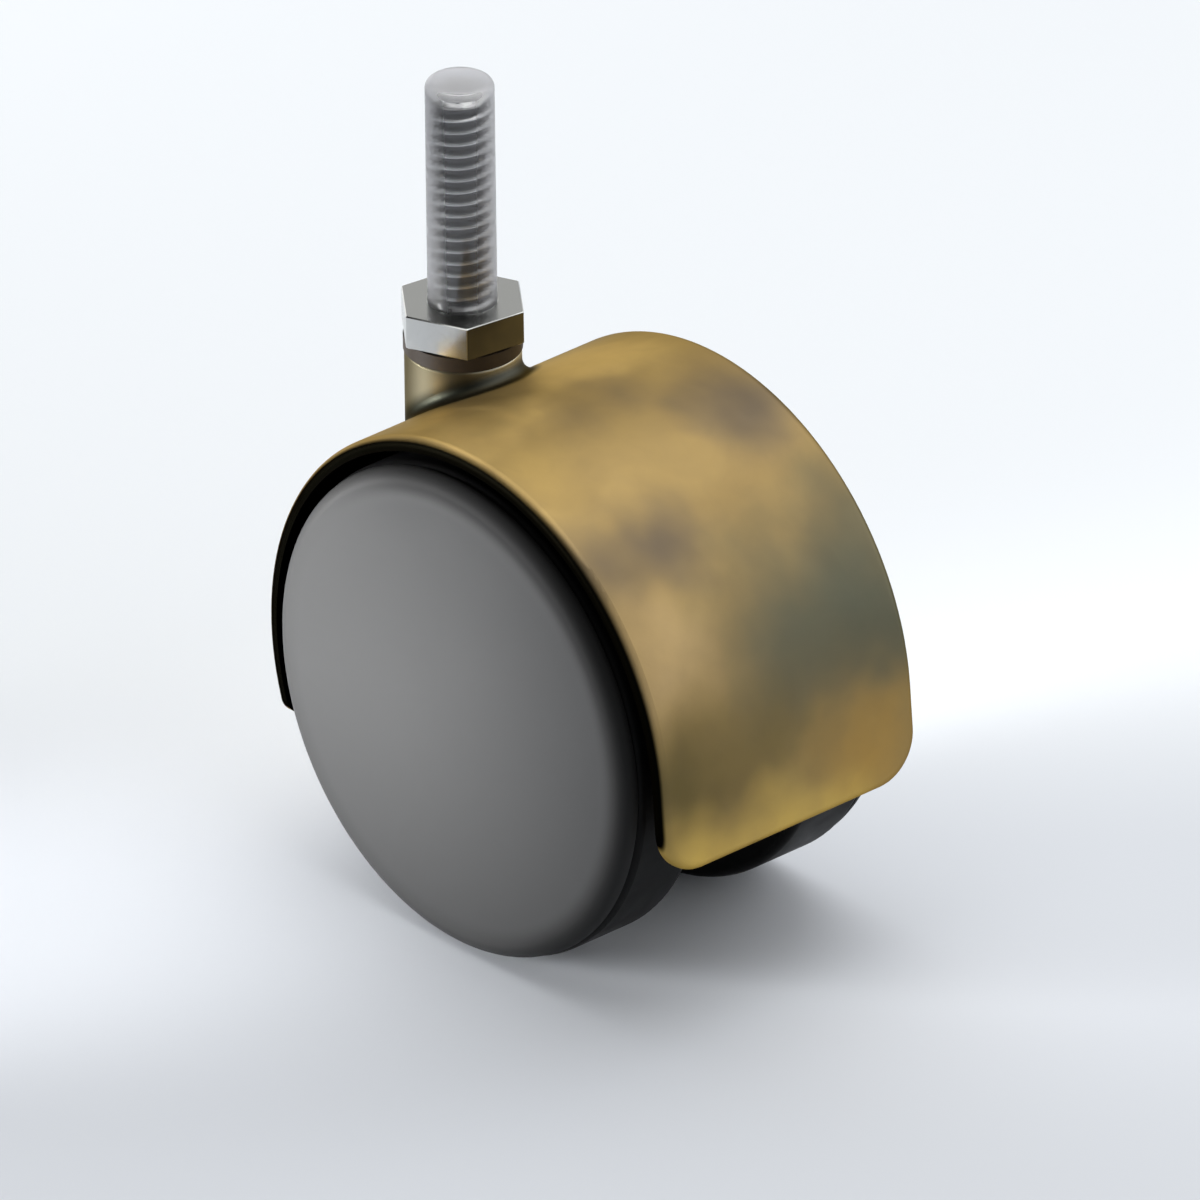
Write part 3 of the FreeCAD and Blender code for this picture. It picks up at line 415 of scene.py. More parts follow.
@dataclass(frozen=True)
class AntiqueBrass(Finish):
    """Aged brass plate on the casting: clouds partly patina and partly painted reflection, painted light on
    the neck, painted shade in the crease and black painted shade on the rims and inside.

    Lengths are in metres. A band runs from where an effect starts to where it is full, measured outwards from
    the radius or the side that it belongs to.
    """

    arch_x: float
    arch_z: float
    outer_radius: float
    half_width: float
    wall: float
    neck_radius: float
    clouds: tuple[BrassCloud, ...] = BRASS_CLOUDS_AND_PAINTED_LIGHT
    drift_scale: float = 110.0
    drift_reach: float = 9.0 * MM
    wide_share: float = 0.16
    close_share: float = 0.12
    # Painted light and shade on the neck: the lit side's direction, the neck's band and share, and where the
    # lit side starts.
    neck_light: Triple = (0.67, 0.74, 0.0)
    neck_band: Band = (0.9 * MM, 0.1 * MM)
    neck_share: float = 0.85
    painted_light_from: float = 0.8
    # Painted shade in the crease at the neck's foot, partly patina.
    crease_by_neck: Band = (2.1 * MM, 0.9 * MM)
    crease_by_arch: Band = (2.2 * MM, 0.8 * MM)
    crease_share: float = 0.92
    # Black painted shade inside the arch and on the rims.
    inside_shade_band: Band = (0.15 * MM, 0.0)
    rim_shade_band: Band = (-0.42 * MM, -0.12 * MM)
    gloss: Band = (0.42, 0.52)
    edge_tint: Colour = (0.45, 0.4, 0.32)

    def material(self, effects: SharedEffects) -> Material:
        """Build the brass.

        Args:
            effects: the shared node groups.

        Returns:
            The material.
        """
        shader = Shader("antique_brass")
        place = shader.place()
        wide = shader.group(effects.clouds, Place=place, Scale=95.0, Contrast=2.6).outputs["Mask"]
        close = shader.group(effects.clouds, Place=place, Scale=420.0, Contrast=1.8).outputs["Mask"]
        smoky = shader.maths("MULTIPLY", wide, self.wide_share)
        colour = shader.blend(smoky, Tone.GOLD.colour, Tone.SMOKE.colour)
        colour = self._clouded(shader, place, colour)
        fine = shader.maths("MULTIPLY", close, self.close_share)
        colour = shader.blend(fine, colour, Tone.SMOKE.colour)
        colour = self._edged(shader, place, colour)
        grain = shader.group(effects.grain, Place=place, Scale=2600.0, Depth=0.25)
        rough = shader.fade(wide, 0.0, 1.0, *self.gloss)
        shader.set(
            Base_Color=colour, Metallic=1.0, Roughness=rough, Normal=grain.outputs["Normal"],
            Specular_Tint=self.edge_tint,
        )
        return shader.material

    def _spot(self, cloud: BrassCloud) -> Vector:
        """Find a cloud's place on the arch.

        Args:
            cloud: the cloud.

        Returns:
            Its middle in the model's frame.
        """
        turn = math.radians(cloud.turn)
        along = self.outer_radius * math.cos(turn)
        up = self.outer_radius * math.sin(turn)
        return Vector((self.arch_x + along, cloud.across * MM, self.arch_z + up))

    def _clouded(self, shader: Shader, place: Socket, colour: Socket) -> Socket:
        """Lay the clouds, partly patina and partly painted light, over the plate, with drifting outlines.

        Args:
            shader: the material that is built.
            place: the point on the surface.
            colour: the plate's own colour.

        Returns:
            The clouded colour.
        """
        drift = shader.add("TexNoise")
        drift.inputs["Scale"].default_value = self.drift_scale
        shader.join(place, drift.inputs["Vector"])
        centred = shader.vector("SUBTRACT", drift.outputs["Color"], (0.5, 0.5, 0.5))
        shift = shader.vector("SCALE", centred)
        shift.node.inputs["Scale"].default_value = self.drift_reach
        drifted = shader.vector("ADD", place, shift)
        # Over the front and top these clouds are partly patina and partly painted reflection, highlight and
        # shade.
        for cloud in self.clouds:
            far = shader.vector("DISTANCE", drifted, tuple(self._spot(cloud)))
            share = shader.fade(far, cloud.reach * MM, 0.0, 0.0, cloud.strength)
            colour = shader.blend(share, colour, cloud.tone.colour)
        return colour

    def _edged(self, shader: Shader, place: Socket, colour: Socket) -> Socket:
        """Add the painted light and shade on the neck's sides, the painted shade in the crease at its foot,
        which is partly patina, and the black painted shade inside and on the rims.

        Args:
            shader: the material that is built.
            place: the point on the surface.
            colour: the clouded colour.

        Returns:
            The finished colour.
        """
        near_stem = shader.from_axis(place, ORIGIN, ACROSS_STEM)
        # Painted light and shade on the neck: the side towards neck_light is painted pale, the other side
        # dark olive.
        on_neck = shader.fade(near_stem, *beyond(self.neck_radius, self.neck_band), 0.0, self.neck_share)
        side = shader.vector("DOT_PRODUCT", place, self.neck_light)
        pale = shader.fade(side, 0.0, self.painted_light_from * self.neck_radius)
        colour = shader.blend(on_neck, colour, shader.blend(pale, Tone.NECK_PAINTED_SHADE.colour, Tone.NECK_PAINTED_LIGHT.colour))
        # Painted shade in the crease where the neck meets the arch, over some patina.
        from_arch = shader.from_axis(place, (self.arch_x, 0.0, self.arch_z), ACROSS_AXLE)
        by_neck = shader.fade(near_stem, *beyond(self.neck_radius, self.crease_by_neck))
        by_arch = shader.fade(from_arch, *beyond(self.outer_radius, self.crease_by_arch))
        crease = shader.maths("MULTIPLY", shader.maths("MULTIPLY", by_neck, by_arch), self.crease_share)
        colour = shader.blend(crease, colour, Tone.CREASE.colour)
        # Black painted shade inside the arch and on the rims' faces.
        inside = shader.fade(from_arch, *beyond(self.outer_radius - self.wall, self.inside_shade_band))
        colour = shader.blend(inside, colour, Tone.PAINTED_SHADE_BLACK.colour)
        outward = shader.maths("ABSOLUTE", shader.vector("DOT_PRODUCT", place, ALONG_AXLE))
        rim = shader.fade(outward, *beyond(self.half_width, self.rim_shade_band))
        return shader.blend(rim, colour, Tone.PAINTED_SHADE_BLACK.colour)


@dataclass(frozen=True)
class BrightPlate(Finish):
    """Bright plate of the stem, with painted shade in the thread's roots, on the collar's top and on one of
    its sides.

    Lengths are in metres, the side with painted shade in degrees about the stem, the root band in shares of
    the thread's depth. The skin is how far below a face a point still counts as on it.
    """

    crest_radius: float
    thread_depth: float
    thread_end: float
    recess_radius: float
    flat_radius: float
    tint: Colour = display(210, 211, 209)
    haze: Colour = display(164, 164, 161)
    haze_share: float = 0.5
    root_painted_shade: Colour = display(28, 28, 34)
    # Painted shade in the thread's roots.
    root_band: Band = (0.2, 0.5)
    root_share: float = 0.95
    # Painted shade on the collar's top face.
    top_painted_shade: Colour = display(156, 157, 154)
    # Painted shade, a dark reflection, on one side face of the collar.
    side_painted_shade: Colour = display(38, 38, 36)
    side_share: float = 0.9
    painted_shade_side: float = -8.3
    skin: float = 0.03 * MM
    gloss: Band = (0.14, 0.24)

    def material(self, effects: SharedEffects) -> Material:
        """Build the plate.

        Args:
            effects: the shared node groups.

        Returns:
            The material.
        """
        shader = Shader("bright_plate")
        place = shader.place()
        mask = shader.group(effects.clouds, Place=place, Scale=380.0, Contrast=2.2).outputs["Mask"]
        grain = shader.group(effects.grain, Place=place, Scale=5200.0, Depth=0.12)
        colour = shader.blend(shader.maths("MULTIPLY", mask, self.haze_share), self.tint, self.haze)
        radius = shader.from_axis(place, ORIGIN, ACROSS_STEM)
        height = shader.vector("DOT_PRODUCT", place, ALONG_STEM)
        # Painted shade in the thread's roots.
        start, end = (self.crest_radius - share * self.thread_depth for share in self.root_band)
        in_root = shader.fade(radius, start, end, 0.0, self.root_share)
        above = shader.maths("GREATER_THAN", height, 0.0)
        on_thread = shader.maths("MULTIPLY", above, shader.maths("LESS_THAN", height, self.thread_end))
        colour = shader.blend(shader.maths("MULTIPLY", in_root, on_thread), colour, self.root_painted_shade)
        # Painted shade on the collar's top face.
        level = shader.maths("GREATER_THAN", height, -self.skin)
        on_top = shader.maths("MULTIPLY", level, shader.maths("GREATER_THAN", radius, self.recess_radius))
        colour = shader.blend(on_top, colour, self.top_painted_shade)
        # Painted shade, a dark reflection, on one side face of the collar.
        turn = math.radians(self.painted_shade_side)
        outward = shader.vector("DOT_PRODUCT", place, (math.cos(turn), math.sin(turn), 0.0))
        on_side = shader.maths("GREATER_THAN", outward, self.flat_radius - self.skin)
        colour = shader.blend(shader.maths("MULTIPLY", on_side, self.side_share), colour, self.side_painted_shade)
        rough = shader.fade(mask, 0.0, 1.0, *self.gloss)
        shader.set(Base_Color=colour, Metallic=1.0, Roughness=rough, Normal=grain.outputs["Normal"])
        return shader.material


@dataclass(frozen=True)
class PlainSteel(Finish):
    """Plain steel of the pins, washers and clips."""

    tint: Colour = display(168, 168, 165)
    dulled: Colour = display(128, 126, 121)
    dulled_share: float = 0.35
    gloss: Band = (0.28, 0.42)

    def material(self, effects: SharedEffects) -> Material:
        """Build the steel.

        Args:
            effects: the shared node groups.

        Returns:
            The material.
        """
        shader = Shader("plain_steel")
        grain = shader.group(effects.grain, Place=shader.place(), Scale=3800.0, Depth=0.3)
        rough = shader.fade(grain.outputs["Mask"], 0.0, 1.0, *self.gloss)
        share = shader.maths("MULTIPLY", grain.outputs["Mask"], self.dulled_share)
        colour = shader.blend(share, self.tint, self.dulled)
        shader.set(Base_Color=colour, Metallic=1.0, Roughness=rough, Normal=grain.outputs["Normal"])
        return shader.material


@dataclass(frozen=True)
class ClearVinyl(Finish):
    """Clear soft plastic of the thread's cap, hazier and darker where it is seen at a slant."""

    clear_tint: Colour = (0.9, 0.9, 0.915)
    slant_tint: Colour = (0.8, 0.8, 0.82)
    tint_band: Band = (0.05, 0.7)
    haze_band: Band = (0.04, 0.34)
    haze: Band = (0.02, 0.42)
    uneven: float = 0.05
    refraction: float = 1.42
    clearness: float = 0.96

    def material(self, effects: SharedEffects) -> Material:
        """Build the vinyl.

        Args:
            effects: the shared node groups.

        Returns:
            The material.
        """
        shader = Shader("clear_vinyl")
        mask = shader.group(effects.clouds, Place=shader.place(), Scale=260.0, Contrast=2.0).outputs["Mask"]
        slant = shader.add("LayerWeight").outputs["Facing"]
        slant.node.inputs["Blend"].default_value = 0.5
        haze = shader.fade(slant, *self.haze_band, *self.haze)
        rough = shader.maths("ADD", haze, shader.maths("MULTIPLY", mask, self.uneven))
        colour = shader.blend(shader.fade(slant, *self.tint_band), self.clear_tint, self.slant_tint)
        shader.set(
            Base_Color=colour, Roughness=rough, IOR=self.refraction, Transmission_Weight=self.clearness,
            Metallic=0.0,
        )
        return shader.material


@dataclass(frozen=True)
class MouldedPlastic(Finish):
    """A moulded plastic: its name, tones, gloss, grain and how much it mirrors."""

    name: str
    tint: Colour
    second_tint: Colour
    gloss: Band
    cloud_scale: float
    grain_scale: float
    grain_depth: float
    mirror: float

    def material(self, effects: SharedEffects) -> Material:
        """Build the plastic.

        Args:
            effects: the shared node groups.

        Returns:
            The material.
        """
        shader = Shader(self.name)
        place = shader.place()
        mask = shader.group(effects.clouds, Place=place, Scale=self.cloud_scale, Contrast=1.6).outputs["Mask"]
        grain = shader.group(effects.grain, Place=place, Scale=self.grain_scale, Depth=self.grain_depth)
        rough = shader.fade(mask, 0.0, 1.0, *self.gloss)
        colour = shader.blend(mask, self.tint, self.second_tint)
        shader.set(Normal=grain.outputs["Normal"], Specular_IOR_Level=self.mirror)
        self.apply(shader, place, colour, rough)
        return shader.material

    def apply(self, shader: Shader, place: Socket, colour: Socket, rough: Socket) -> None:
        """Feed the colour and the roughness as they are; a finish may add to them by the place."""
        shader.set(Base_Color=colour, Roughness=rough)


@dataclass(frozen=True)
class SatinFace(MouldedPlastic):
    """The wheel face's plastic, satin on the flat, with painted shade on the rounded shoulder, most of it at
    one side.

    Lengths are in metres; the side's band is in shares of the shoulder's radius.
    """

    middle: Triple
    rim: float
    shoulder: Band = (-3.6 * MM, -1.3 * MM)
    # Painted shade on the shoulder, strongest towards one side.
    shoulder_painted_shade: Colour = display(12, 12, 12)
    shoulder_rough: float = 0.7
    shaded_side: Triple = (0.9, 0.0, 0.44)
    side_band: Band = (-0.5, 0.25)
    least: float = 0.3

    def apply(self, shader: Shader, place: Socket, colour: Socket, rough: Socket) -> None:
        """Feed the colour, with painted shade and more roughness over the shoulder.

        Args:
            shader: the material that is built.
            place: the point on the surface.
            colour: the flat's colour.
            rough: the flat's roughness.
        """
        # Painted shade on the shoulder, strongest towards one side.
        start, end = beyond(self.rim, self.shoulder)
        on_shoulder = shader.fade(shader.from_axis(place, self.middle, ACROSS_AXLE), start, end)
        offset = shader.vector("SUBTRACT", place, self.middle)
        sideways = shader.vector("DOT_PRODUCT", offset, self.shaded_side)
        weight = shader.fade(sideways, *(share * end for share in self.side_band), self.least, 1.0)
        share = shader.maths("MULTIPLY", on_shoulder, weight)
        rise = shader.maths("SUBTRACT", self.shoulder_rough, rough)
        shader.set(
            Base_Color=shader.blend(share, colour, self.shoulder_painted_shade),
            Roughness=shader.maths("MULTIPLY_ADD", share, rise, rough),
        )


class PieceMaker:
    """Makes one finished mesh piece with bmesh operators."""

    def __init__(self) -> None:
        """Start an empty mesh."""
        self.bm = bmesh.new()

    def polyline(self, points: Profile, closed: bool) -> list[Edge]:
        """Draw a line in the XZ plane.

        Args:
            points: radius and height of each point, in metres.
            closed: whether the last point joins the first.

        Returns:
            The line's edges.
        """
        verts = [self.bm.verts.new((radius, 0.0, height)) for radius, height in points]
        pairs = list(zip(verts[:-1], verts[1:]))
        if closed:
            pairs.append((verts[-1], verts[0]))
        return [self.bm.edges.new(pair) for pair in pairs]

    def turn(self, points: Profile, steps: int) -> None:
        """Turn a closed half section about the Z axis into a solid.

        Args:
            points: radius and height of each point, in metres.
            steps: how many steps make the full turn.
        """
        edges = self.polyline(points, closed=points[0][0] > 0.0)
        verts = list({vert for edge in edges for vert in edge.verts})
        bmesh.ops.spin(
            self.bm, geom=verts + edges, cent=(0, 0, 0), axis=(0, 0, 1), angle=FULL_TURN, steps=steps,
            use_merge=True,
        )

    def merge(self, distance: float = 0.0005 * MM) -> None:
        """Merge the points that lie together."""
        bmesh.ops.remove_doubles(self.bm, verts=self.bm.verts, dist=distance)

    def lay_on_axle(self, outward: float, middle: Vector) -> None:
        """Turn a piece made upright so that its top faces outwards along the axle.

        Args:
            outward: 1 for the +Y side, -1 for the -Y side.
            middle: the axle's point that the piece's axis passes.
        """
        turned = Matrix.Rotation(-outward * math.pi / 2, 3, "X")
        bmesh.ops.rotate(self.bm, verts=self.bm.verts, cent=(0, 0, 0), matrix=turned)
        bmesh.ops.translate(self.bm, verts=self.bm.verts, vec=middle)

    def cut(self, height: float, keep_above: bool | None = None) -> None:
        """Cut the mesh level.

        Args:
            height: the cut's height.
            keep_above: which side stays; None keeps both.
        """
        everything = [*self.bm.verts, *self.bm.edges, *self.bm.faces]
        bmesh.ops.bisect_plane(
            self.bm, geom=everything, dist=1e-9, plane_co=(0, 0, height), plane_no=(0, 0, 1),
            clear_inner=keep_above is True, clear_outer=keep_above is False,
        )

    def close_holes(self) -> None:
        """Close every open edge loop with a face."""
        rims = [edge for edge in self.bm.edges if edge.is_boundary]
        bmesh.ops.holes_fill(self.bm, edges=rims, sides=0)

    def finish(self, name: str, sharp_angle: float, material: Material) -> Piece:
        """Turn the mesh into an object with outward faces and smooth shading between sharp edges.

        Args:
            name: the piece's name.
            sharp_angle: edges that turn more than this many degrees stay sharp.
            material: the finish.

        Returns:
            The object, linked to the scene.
        """
        bmesh.ops.recalc_face_normals(self.bm, faces=self.bm.faces)
        mesh = bpy.data.meshes.new(name)
        self.bm.to_mesh(mesh)
        self.bm.free()
        mesh.shade_smooth()
        mesh.set_sharp_from_angle(angle=math.radians(sharp_angle))
        mesh.materials.append(material)
        piece = bpy.data.objects.new(name, mesh)
        bpy.context.scene.collection.objects.link(piece)
        return piece


def rounded(radius: float, height: float, size: float, steps: int = 10) -> Profile:
    """Give the points of a quarter round at the outer upper corner of a half section.

    Args:
        radius: the corner's radius from the axis.
        height: the corner's height.
        size: the rounding.
        steps: how many straight runs make the quarter.

    Returns:
        The points from the side up to the top, radius and height.
    """
    turns = [math.pi / 2 * number / steps for number in range(steps + 1)]
    return [(radius - size + size * math.cos(turn), height - size + size * math.sin(turn)) for turn in turns]


def report(piece: Piece) -> None:
    """Log a finished piece with its number of faces."""
    log.info("%s: %d faces", piece.name, len(piece.data.polygons))


def dress(node: Piece, material: Material) -> None:
    """Put a finish in every slot of a carried-over piece.

    Args:
        node: the piece.
        material: the finish.
    """
    if not node.material_slots:
        node.data.materials.append(material)
    for slot in node.material_slots:
        slot.material = material
    log.info("%s: dressed in %s", node.name, material.name)


@dataclass
class ThreadedStem:
    """The plated stem: 1/4-20 thread, hexagonal collar and plain pintle. Sizes in millimetres."""

    plate: Material
    maker: PieceMaker = field(default_factory=PieceMaker)
    pitch: float = 1.27
    crest_radius: float = 3.125
    thread_depth: float = 0.74
    root_flat: float = 0.3
    flank_angle: float = 30.0
    thread_foot: float = 0.9
    run_out: float = 0.6
    thread_length: float = 22.2
    end_chamfer: float = 0.75
    across_flats: float = 11.3
    collar_height: float = 3.45
    collar_turn: float = 21.7
    broken_edge: float = 0.12
    relief_radius: float = 3.455
    relief_depth: float = 0.3
    pintle_radius: float = 3.15
    groove_depth: float = 0.4
    clip_height: float = 0.7
    below_clip: float = 0.9
    steps_per_turn: int = 96
    turns_below: int = 3
    spare_turns: int = 2
    chamfer_cuts: int = 4
    clean_chamfer: float = 0.6
    sharp_angle: float = 30.0

    def build(self) -> None:
        """Build the stem as one piece and let it stand for the plain one."""
        self._thread()
        self._collar()
        self._pintle()
        stem = self.maker.finish("stem_with_thread", self.sharp_angle, self.plate)
        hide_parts("threaded_stem")
        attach(stem, "stem")
        report(stem)

    def _thread(self) -> None:
        """Wind the thread's profile up a helix, cut it level, chamfer its top and run it out at its foot."""
        pitch = self.pitch * MM
        crest = self.crest_radius * MM
        root = crest - self.thread_depth * MM
        root_flat = self.root_flat * MM
        flank = self.thread_depth * MM * math.tan(math.radians(self.flank_angle))
        crest_flat = pitch - root_flat - 2 * flank
        low = self.thread_foot * MM - root_flat / 2 - self.turns_below * pitch
        top = self.thread_length * MM
        turns = math.ceil((top - low) / pitch) + self.spare_turns
        profile = [
            (root, low),
            (root, low + root_flat),
            (crest, low + root_flat + flank),
            (crest, low + root_flat + flank + crest_flat),
            (root, low + pitch),
        ]
        maker = self.maker
        edges = maker.polyline(profile, closed=False)
        verts = list({vert for edge in edges for vert in edge.verts})
        steps = self.steps_per_turn
        bmesh.ops.spin(
            maker.bm, geom=verts + edges, cent=(0, 0, 0), axis=(0, 0, 1), dvec=(0, 0, pitch / steps),
            angle=FULL_TURN * turns, steps=steps * turns, use_merge=False,
        )
        maker.merge()
        chamfer = self.end_chamfer * MM
        maker.cut(top, keep_above=False)
        maker.cut(-(self.relief_depth + self.broken_edge) * MM, keep_above=True)
        for number in range(self.chamfer_cuts):
            maker.cut(top - chamfer * (1 - number / self.chamfer_cuts))
        foot = self.thread_foot * MM - root_flat / 2 - flank
        for vert in maker.bm.verts:
            most = crest - max(0.0, vert.co.z - (top - chamfer))
            depth = min(1.0, max(0.0, (vert.co.z - foot) / (self.run_out * MM))) * (crest - root)
            radius = vert.co.xy.length
            vert.co.xy *= max(min(radius, most), min(crest - depth, most)) / radius
        maker.close_holes()

    def _collar(self) -> None:
        """Make the hexagon with broken edges and a shallow recess round the thread."""
        bm = self.maker.bm
        corner = self.across_flats * MM / (2 * math.cos(math.pi / HEXAGON))
        height = self.collar_height * MM
        edge = self.broken_edge * MM
        from_y = self.collar_turn - 90.0
        turned = Matrix.Rotation(math.radians(from_y), 3, "Z")
        hexagon = bmesh.ops.create_circle(bm, cap_ends=False, segments=HEXAGON, radius=corner)["verts"]
        bmesh.ops.rotate(bm, verts=hexagon, cent=(0, 0, 0), matrix=turned)
        sides = list({side for vert in hexagon for side in vert.link_edges})
        walls = bmesh.ops.extrude_edge_only(bm, edges=sides)["geom"]
        lower = [item for item in walls if isinstance(item, Point)]
        bmesh.ops.translate(bm, verts=lower, vec=(0, 0, -height))
        corners = list({
            item for vert in lower for item in vert.link_edges if item.verts[0].co.z != item.verts[1].co.z
        })
        bmesh.ops.bevel(
            bm, geom=corners, offset=edge, offset_type="OFFSET", affect="EDGES", segments=2, profile=0.5,
            material=-1,
        )
        self._rims()

    def _rims(self) -> None:
        """Draw the collar's two faces in from its outline: a broken edge, then the flat and the recess."""
        bm = self.maker.bm
        edge = self.broken_edge * MM
        flats = self.across_flats * MM / 2
        shrink = (flats - edge) / flats
        for level, inward in ((0.0, -1.0), (-self.collar_height * MM, 1.0)):
            rim = [
                item for item in bm.edges
                if item.is_boundary and all(self._on_rim(vert, level) for vert in item.verts)
            ]
            made = bmesh.ops.extrude_edge_only(bm, edges=rim)["geom"]
            inner = [item for item in made if isinstance(item, Point)]
            outer = {vert for item in rim for vert in item.verts}
            for vert in inner:
                vert.co.xy *= shrink
            for vert in outer:
                vert.co.z += inward * edge
            loop = [item for item in made if isinstance(item, Edge) and item.is_boundary]
            if level == 0.0:
                self._recess(loop)
            else:
                bmesh.ops.holes_fill(bm, edges=loop, sides=0)

    def _on_rim(self, vert: Point, level: float) -> bool:
        """Tell whether a point lies on the hexagon's outline at this height."""
        return abs(vert.co.z - level) < TOUCHING and vert.co.xy.length > self.relief_radius * MM

    def _recess(self, loop: list[Edge]) -> None:
        """Fill the collar's upper face round a circle and sink the circle.

        Args:
            loop: the outline's edges.
        """
        bm = self.maker.bm
        circle = bmesh.ops.create_circle(
            bm, cap_ends=False, segments=self.steps_per_turn, radius=self.relief_radius * MM
        )
        round_edges = list({side for vert in circle["verts"] for side in vert.link_edges})
        bmesh.ops.triangle_fill(bm, edges=loop + round_edges, use_beauty=True, normal=(0, 0, 1))
        sunk = bmesh.ops.extrude_edge_only(bm, edges=round_edges)["geom"]
        floor = [item for item in sunk if isinstance(item, Point)]
        bmesh.ops.translate(bm, verts=floor, vec=(0, 0, -self.relief_depth * MM))
        floor_edges = [item for item in sunk if isinstance(item, Edge) and item.is_boundary]
        bmesh.ops.holes_fill(bm, edges=floor_edges, sides=0)

    def _pintle(self) -> None:
        """Turn the plain shank with its clip groove, from inside the collar down to its end."""
        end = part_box("threaded_stem")[0].z
        radius = self.pintle_radius * MM
        groove = radius - self.groove_depth * MM
        clip_low = end + self.below_clip * MM
        clip_high = clip_low + self.clip_height * MM
        inside = -self.collar_height * MM / 2
        self.maker.turn([
            (0.0, end),
            (groove, end),
            (radius, end + self.groove_depth * MM),
            (radius, clip_low),
            (groove, clip_low),
            (groove, clip_high),
            (radius, clip_high),
            (radius, inside),
            (0.0, inside),
        ], self.steps_per_turn)
        self.maker.merge()


@dataclass
class ThreadCap:
    """The clear moulded cap over the thread. Sizes in millimetres."""

    vinyl: Material
    wall: float = 0.18
    end_wall: float = 0.4
    shoulder: float = 0.85
    inner_shoulder: float = 0.67
    steps_per_turn: int = 128
    sharp_angle: float = 50.0

    def build(self) -> None:
        """Build the cap with rounded shoulders inside and out, and let it stand for the plain one."""
        low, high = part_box("thread_protector")
        outer = high.x
        inner = outer - self.wall * MM
        top = high.z
        inside_top = top - self.end_wall * MM
        maker = PieceMaker()
        profile: Profile = [(0.0, inside_top)]
        profile += reversed(rounded(inner, inside_top, self.inner_shoulder * MM))
        profile += [(inner, low.z), (outer, low.z)]
        profile += rounded(outer, top, self.shoulder * MM)
        profile += [(0.0, top)]
        maker.turn(profile, self.steps_per_turn)
        maker.merge()
        cap = maker.finish("clear_cap", self.sharp_angle, self.vinyl)
        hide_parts("thread_protector")
        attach(cap, "cap")
        report(cap)


class Hand(Enum):
    """The two wheels."""

    RIGHT = "right"
    LEFT = "left"


@dataclass
class Hood:
    """The casting with its bushes and the pieces on the axle that turn with it. Sizes in millimetres."""

    nodes: dict[str, Piece]
    effects: SharedEffects
    steel: Material
    nylon: Material
    arch_forward: float = 0.8
    arch_rise: float = -0.1
    swivel_offset: float = 16.75
    axle_height: float = -32.3
    outer_radius: float = 28.05
    wall: float = 1.4
    neck_radius: float = 5.65

    def build(self) -> None:
        """Dress the casting, the bushes and the steel pieces."""
        brass = AntiqueBrass(
            arch_x=(self.swivel_offset + self.arch_forward) * MM,
            arch_z=(self.axle_height + self.arch_rise) * MM,
            outer_radius=self.outer_radius * MM,
            half_width=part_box("hood_casting")[1].y,
            wall=self.wall * MM,
            neck_radius=self.neck_radius * MM,
        ).material(self.effects)
        dress(self.nodes["hood_casting"], brass)
        for name in ("upper_swivel_bush", "lower_swivel_bush"):
            dress(self.nodes[name], self.nylon)
        for name in ("axle_pin", "swivel_washer", "swivel_clip"):
            dress(self.nodes[name], self.steel)
        for hand in Hand:
            for piece in ("spacer_washer", "axle_clip"):
                dress(self.nodes[f"{hand.value}_{piece}"], self.steel)


@dataclass
class Wheel:
    """One wheel: moulded core, bush, tread and face cover. Sizes in millimetres."""

    hand: Hand
    nodes: dict[str, Piece]
    core: Material
    tread: Material
    face: Material
    bush: Material
    crown: float = 0.25
    face_edge: float = 1.55
    face_wall: float = 1.3
    seat_radius: float = 20.57
    ring_wall: float = 1.2
    ring_reach: float = 2.2
    projection: float = 1.6
    crown_steps: int = 12
    steps_per_turn: int = 192
    sharp_angle: float = 40.0

    def build(self) -> None:
        """Dress the wheel's moulded pieces and build its cover."""
        for piece, material in (("wheel_core", self.core), ("tyre", self.tread), ("hub_bush", self.bush)):
            dress(self.nodes[f"{self.hand.value}_{piece}"], material)
        self._cover()

    def _cover(self) -> None:
        """Turn the slightly crowned cover with its snap ring, and let it stand for the plain one."""
        plain = f"{self.hand.value}_face_cover"
        low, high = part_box(plain)
        outward = -1.0 if self.hand is Hand.RIGHT else 1.0
        middle = max(abs(low.y), abs(high.y))
        edge_radius = (high.x - low.x) / 2
        crown = self.crown * MM
        level = middle - crown
        seat = level - self.projection * MM
        inside = level - self.face_wall * MM
        ring_end = seat - self.ring_reach * MM
        ring = self.seat_radius * MM
        bore = ring - self.ring_wall * MM
        flat = edge_radius - self.face_edge * MM
        shares = [1 - number / self.crown_steps for number in range(1, self.crown_steps + 1)]
        domed = [(flat * share, level + crown * (1 - share**2)) for share in shares]
        profile = [(0.0, inside), (bore, inside), (bore, ring_end), (ring, ring_end), (ring, seat)]
        profile += [(edge_radius, seat)]
        profile += rounded(edge_radius, level, self.face_edge * MM)
        maker = PieceMaker()
        maker.turn(profile + domed, self.steps_per_turn)
        maker.merge()
        maker.lay_on_axle(outward, Vector(((low.x + high.x) / 2, 0.0, (low.z + high.z) / 2)))
        cover = maker.finish(f"{self.hand.value}_crowned_cover", self.sharp_angle, self.face)
        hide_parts(plain)
        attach(cover, f"{self.hand.value}_wheel")
        report(cover)


@dataclass(frozen=True)
class SoftBox:
    """One lamp of the studio.

    turn is in degrees to the right of the camera as seen from the castor, rise in degrees above level, far
    and side in metres, radiance as a share of white, spread in degrees, aim_shift in millimetres from the
    axle's middle.
    """

    name: str
    turn: float
    rise: float
    far: float
    side: float
    radiance: float
    spread: float = 180.0
    aim_shift: Triple = ORIGIN


SOFT_BOXES = (
    SoftBox("overhead", 180.0, 84.0, 0.7, 0.8, 1.4),
    SoftBox("right", 104.0, 26.0, 0.45, 0.36, 0.9),
    SoftBox("left_back", -152.0, 10.0, 0.3, 0.2, 0.6),
    SoftBox("face", -78.0, 4.0, 0.1, 0.05, 4.9, 36.0, (-18.0, -17.65, 0.0)),
)


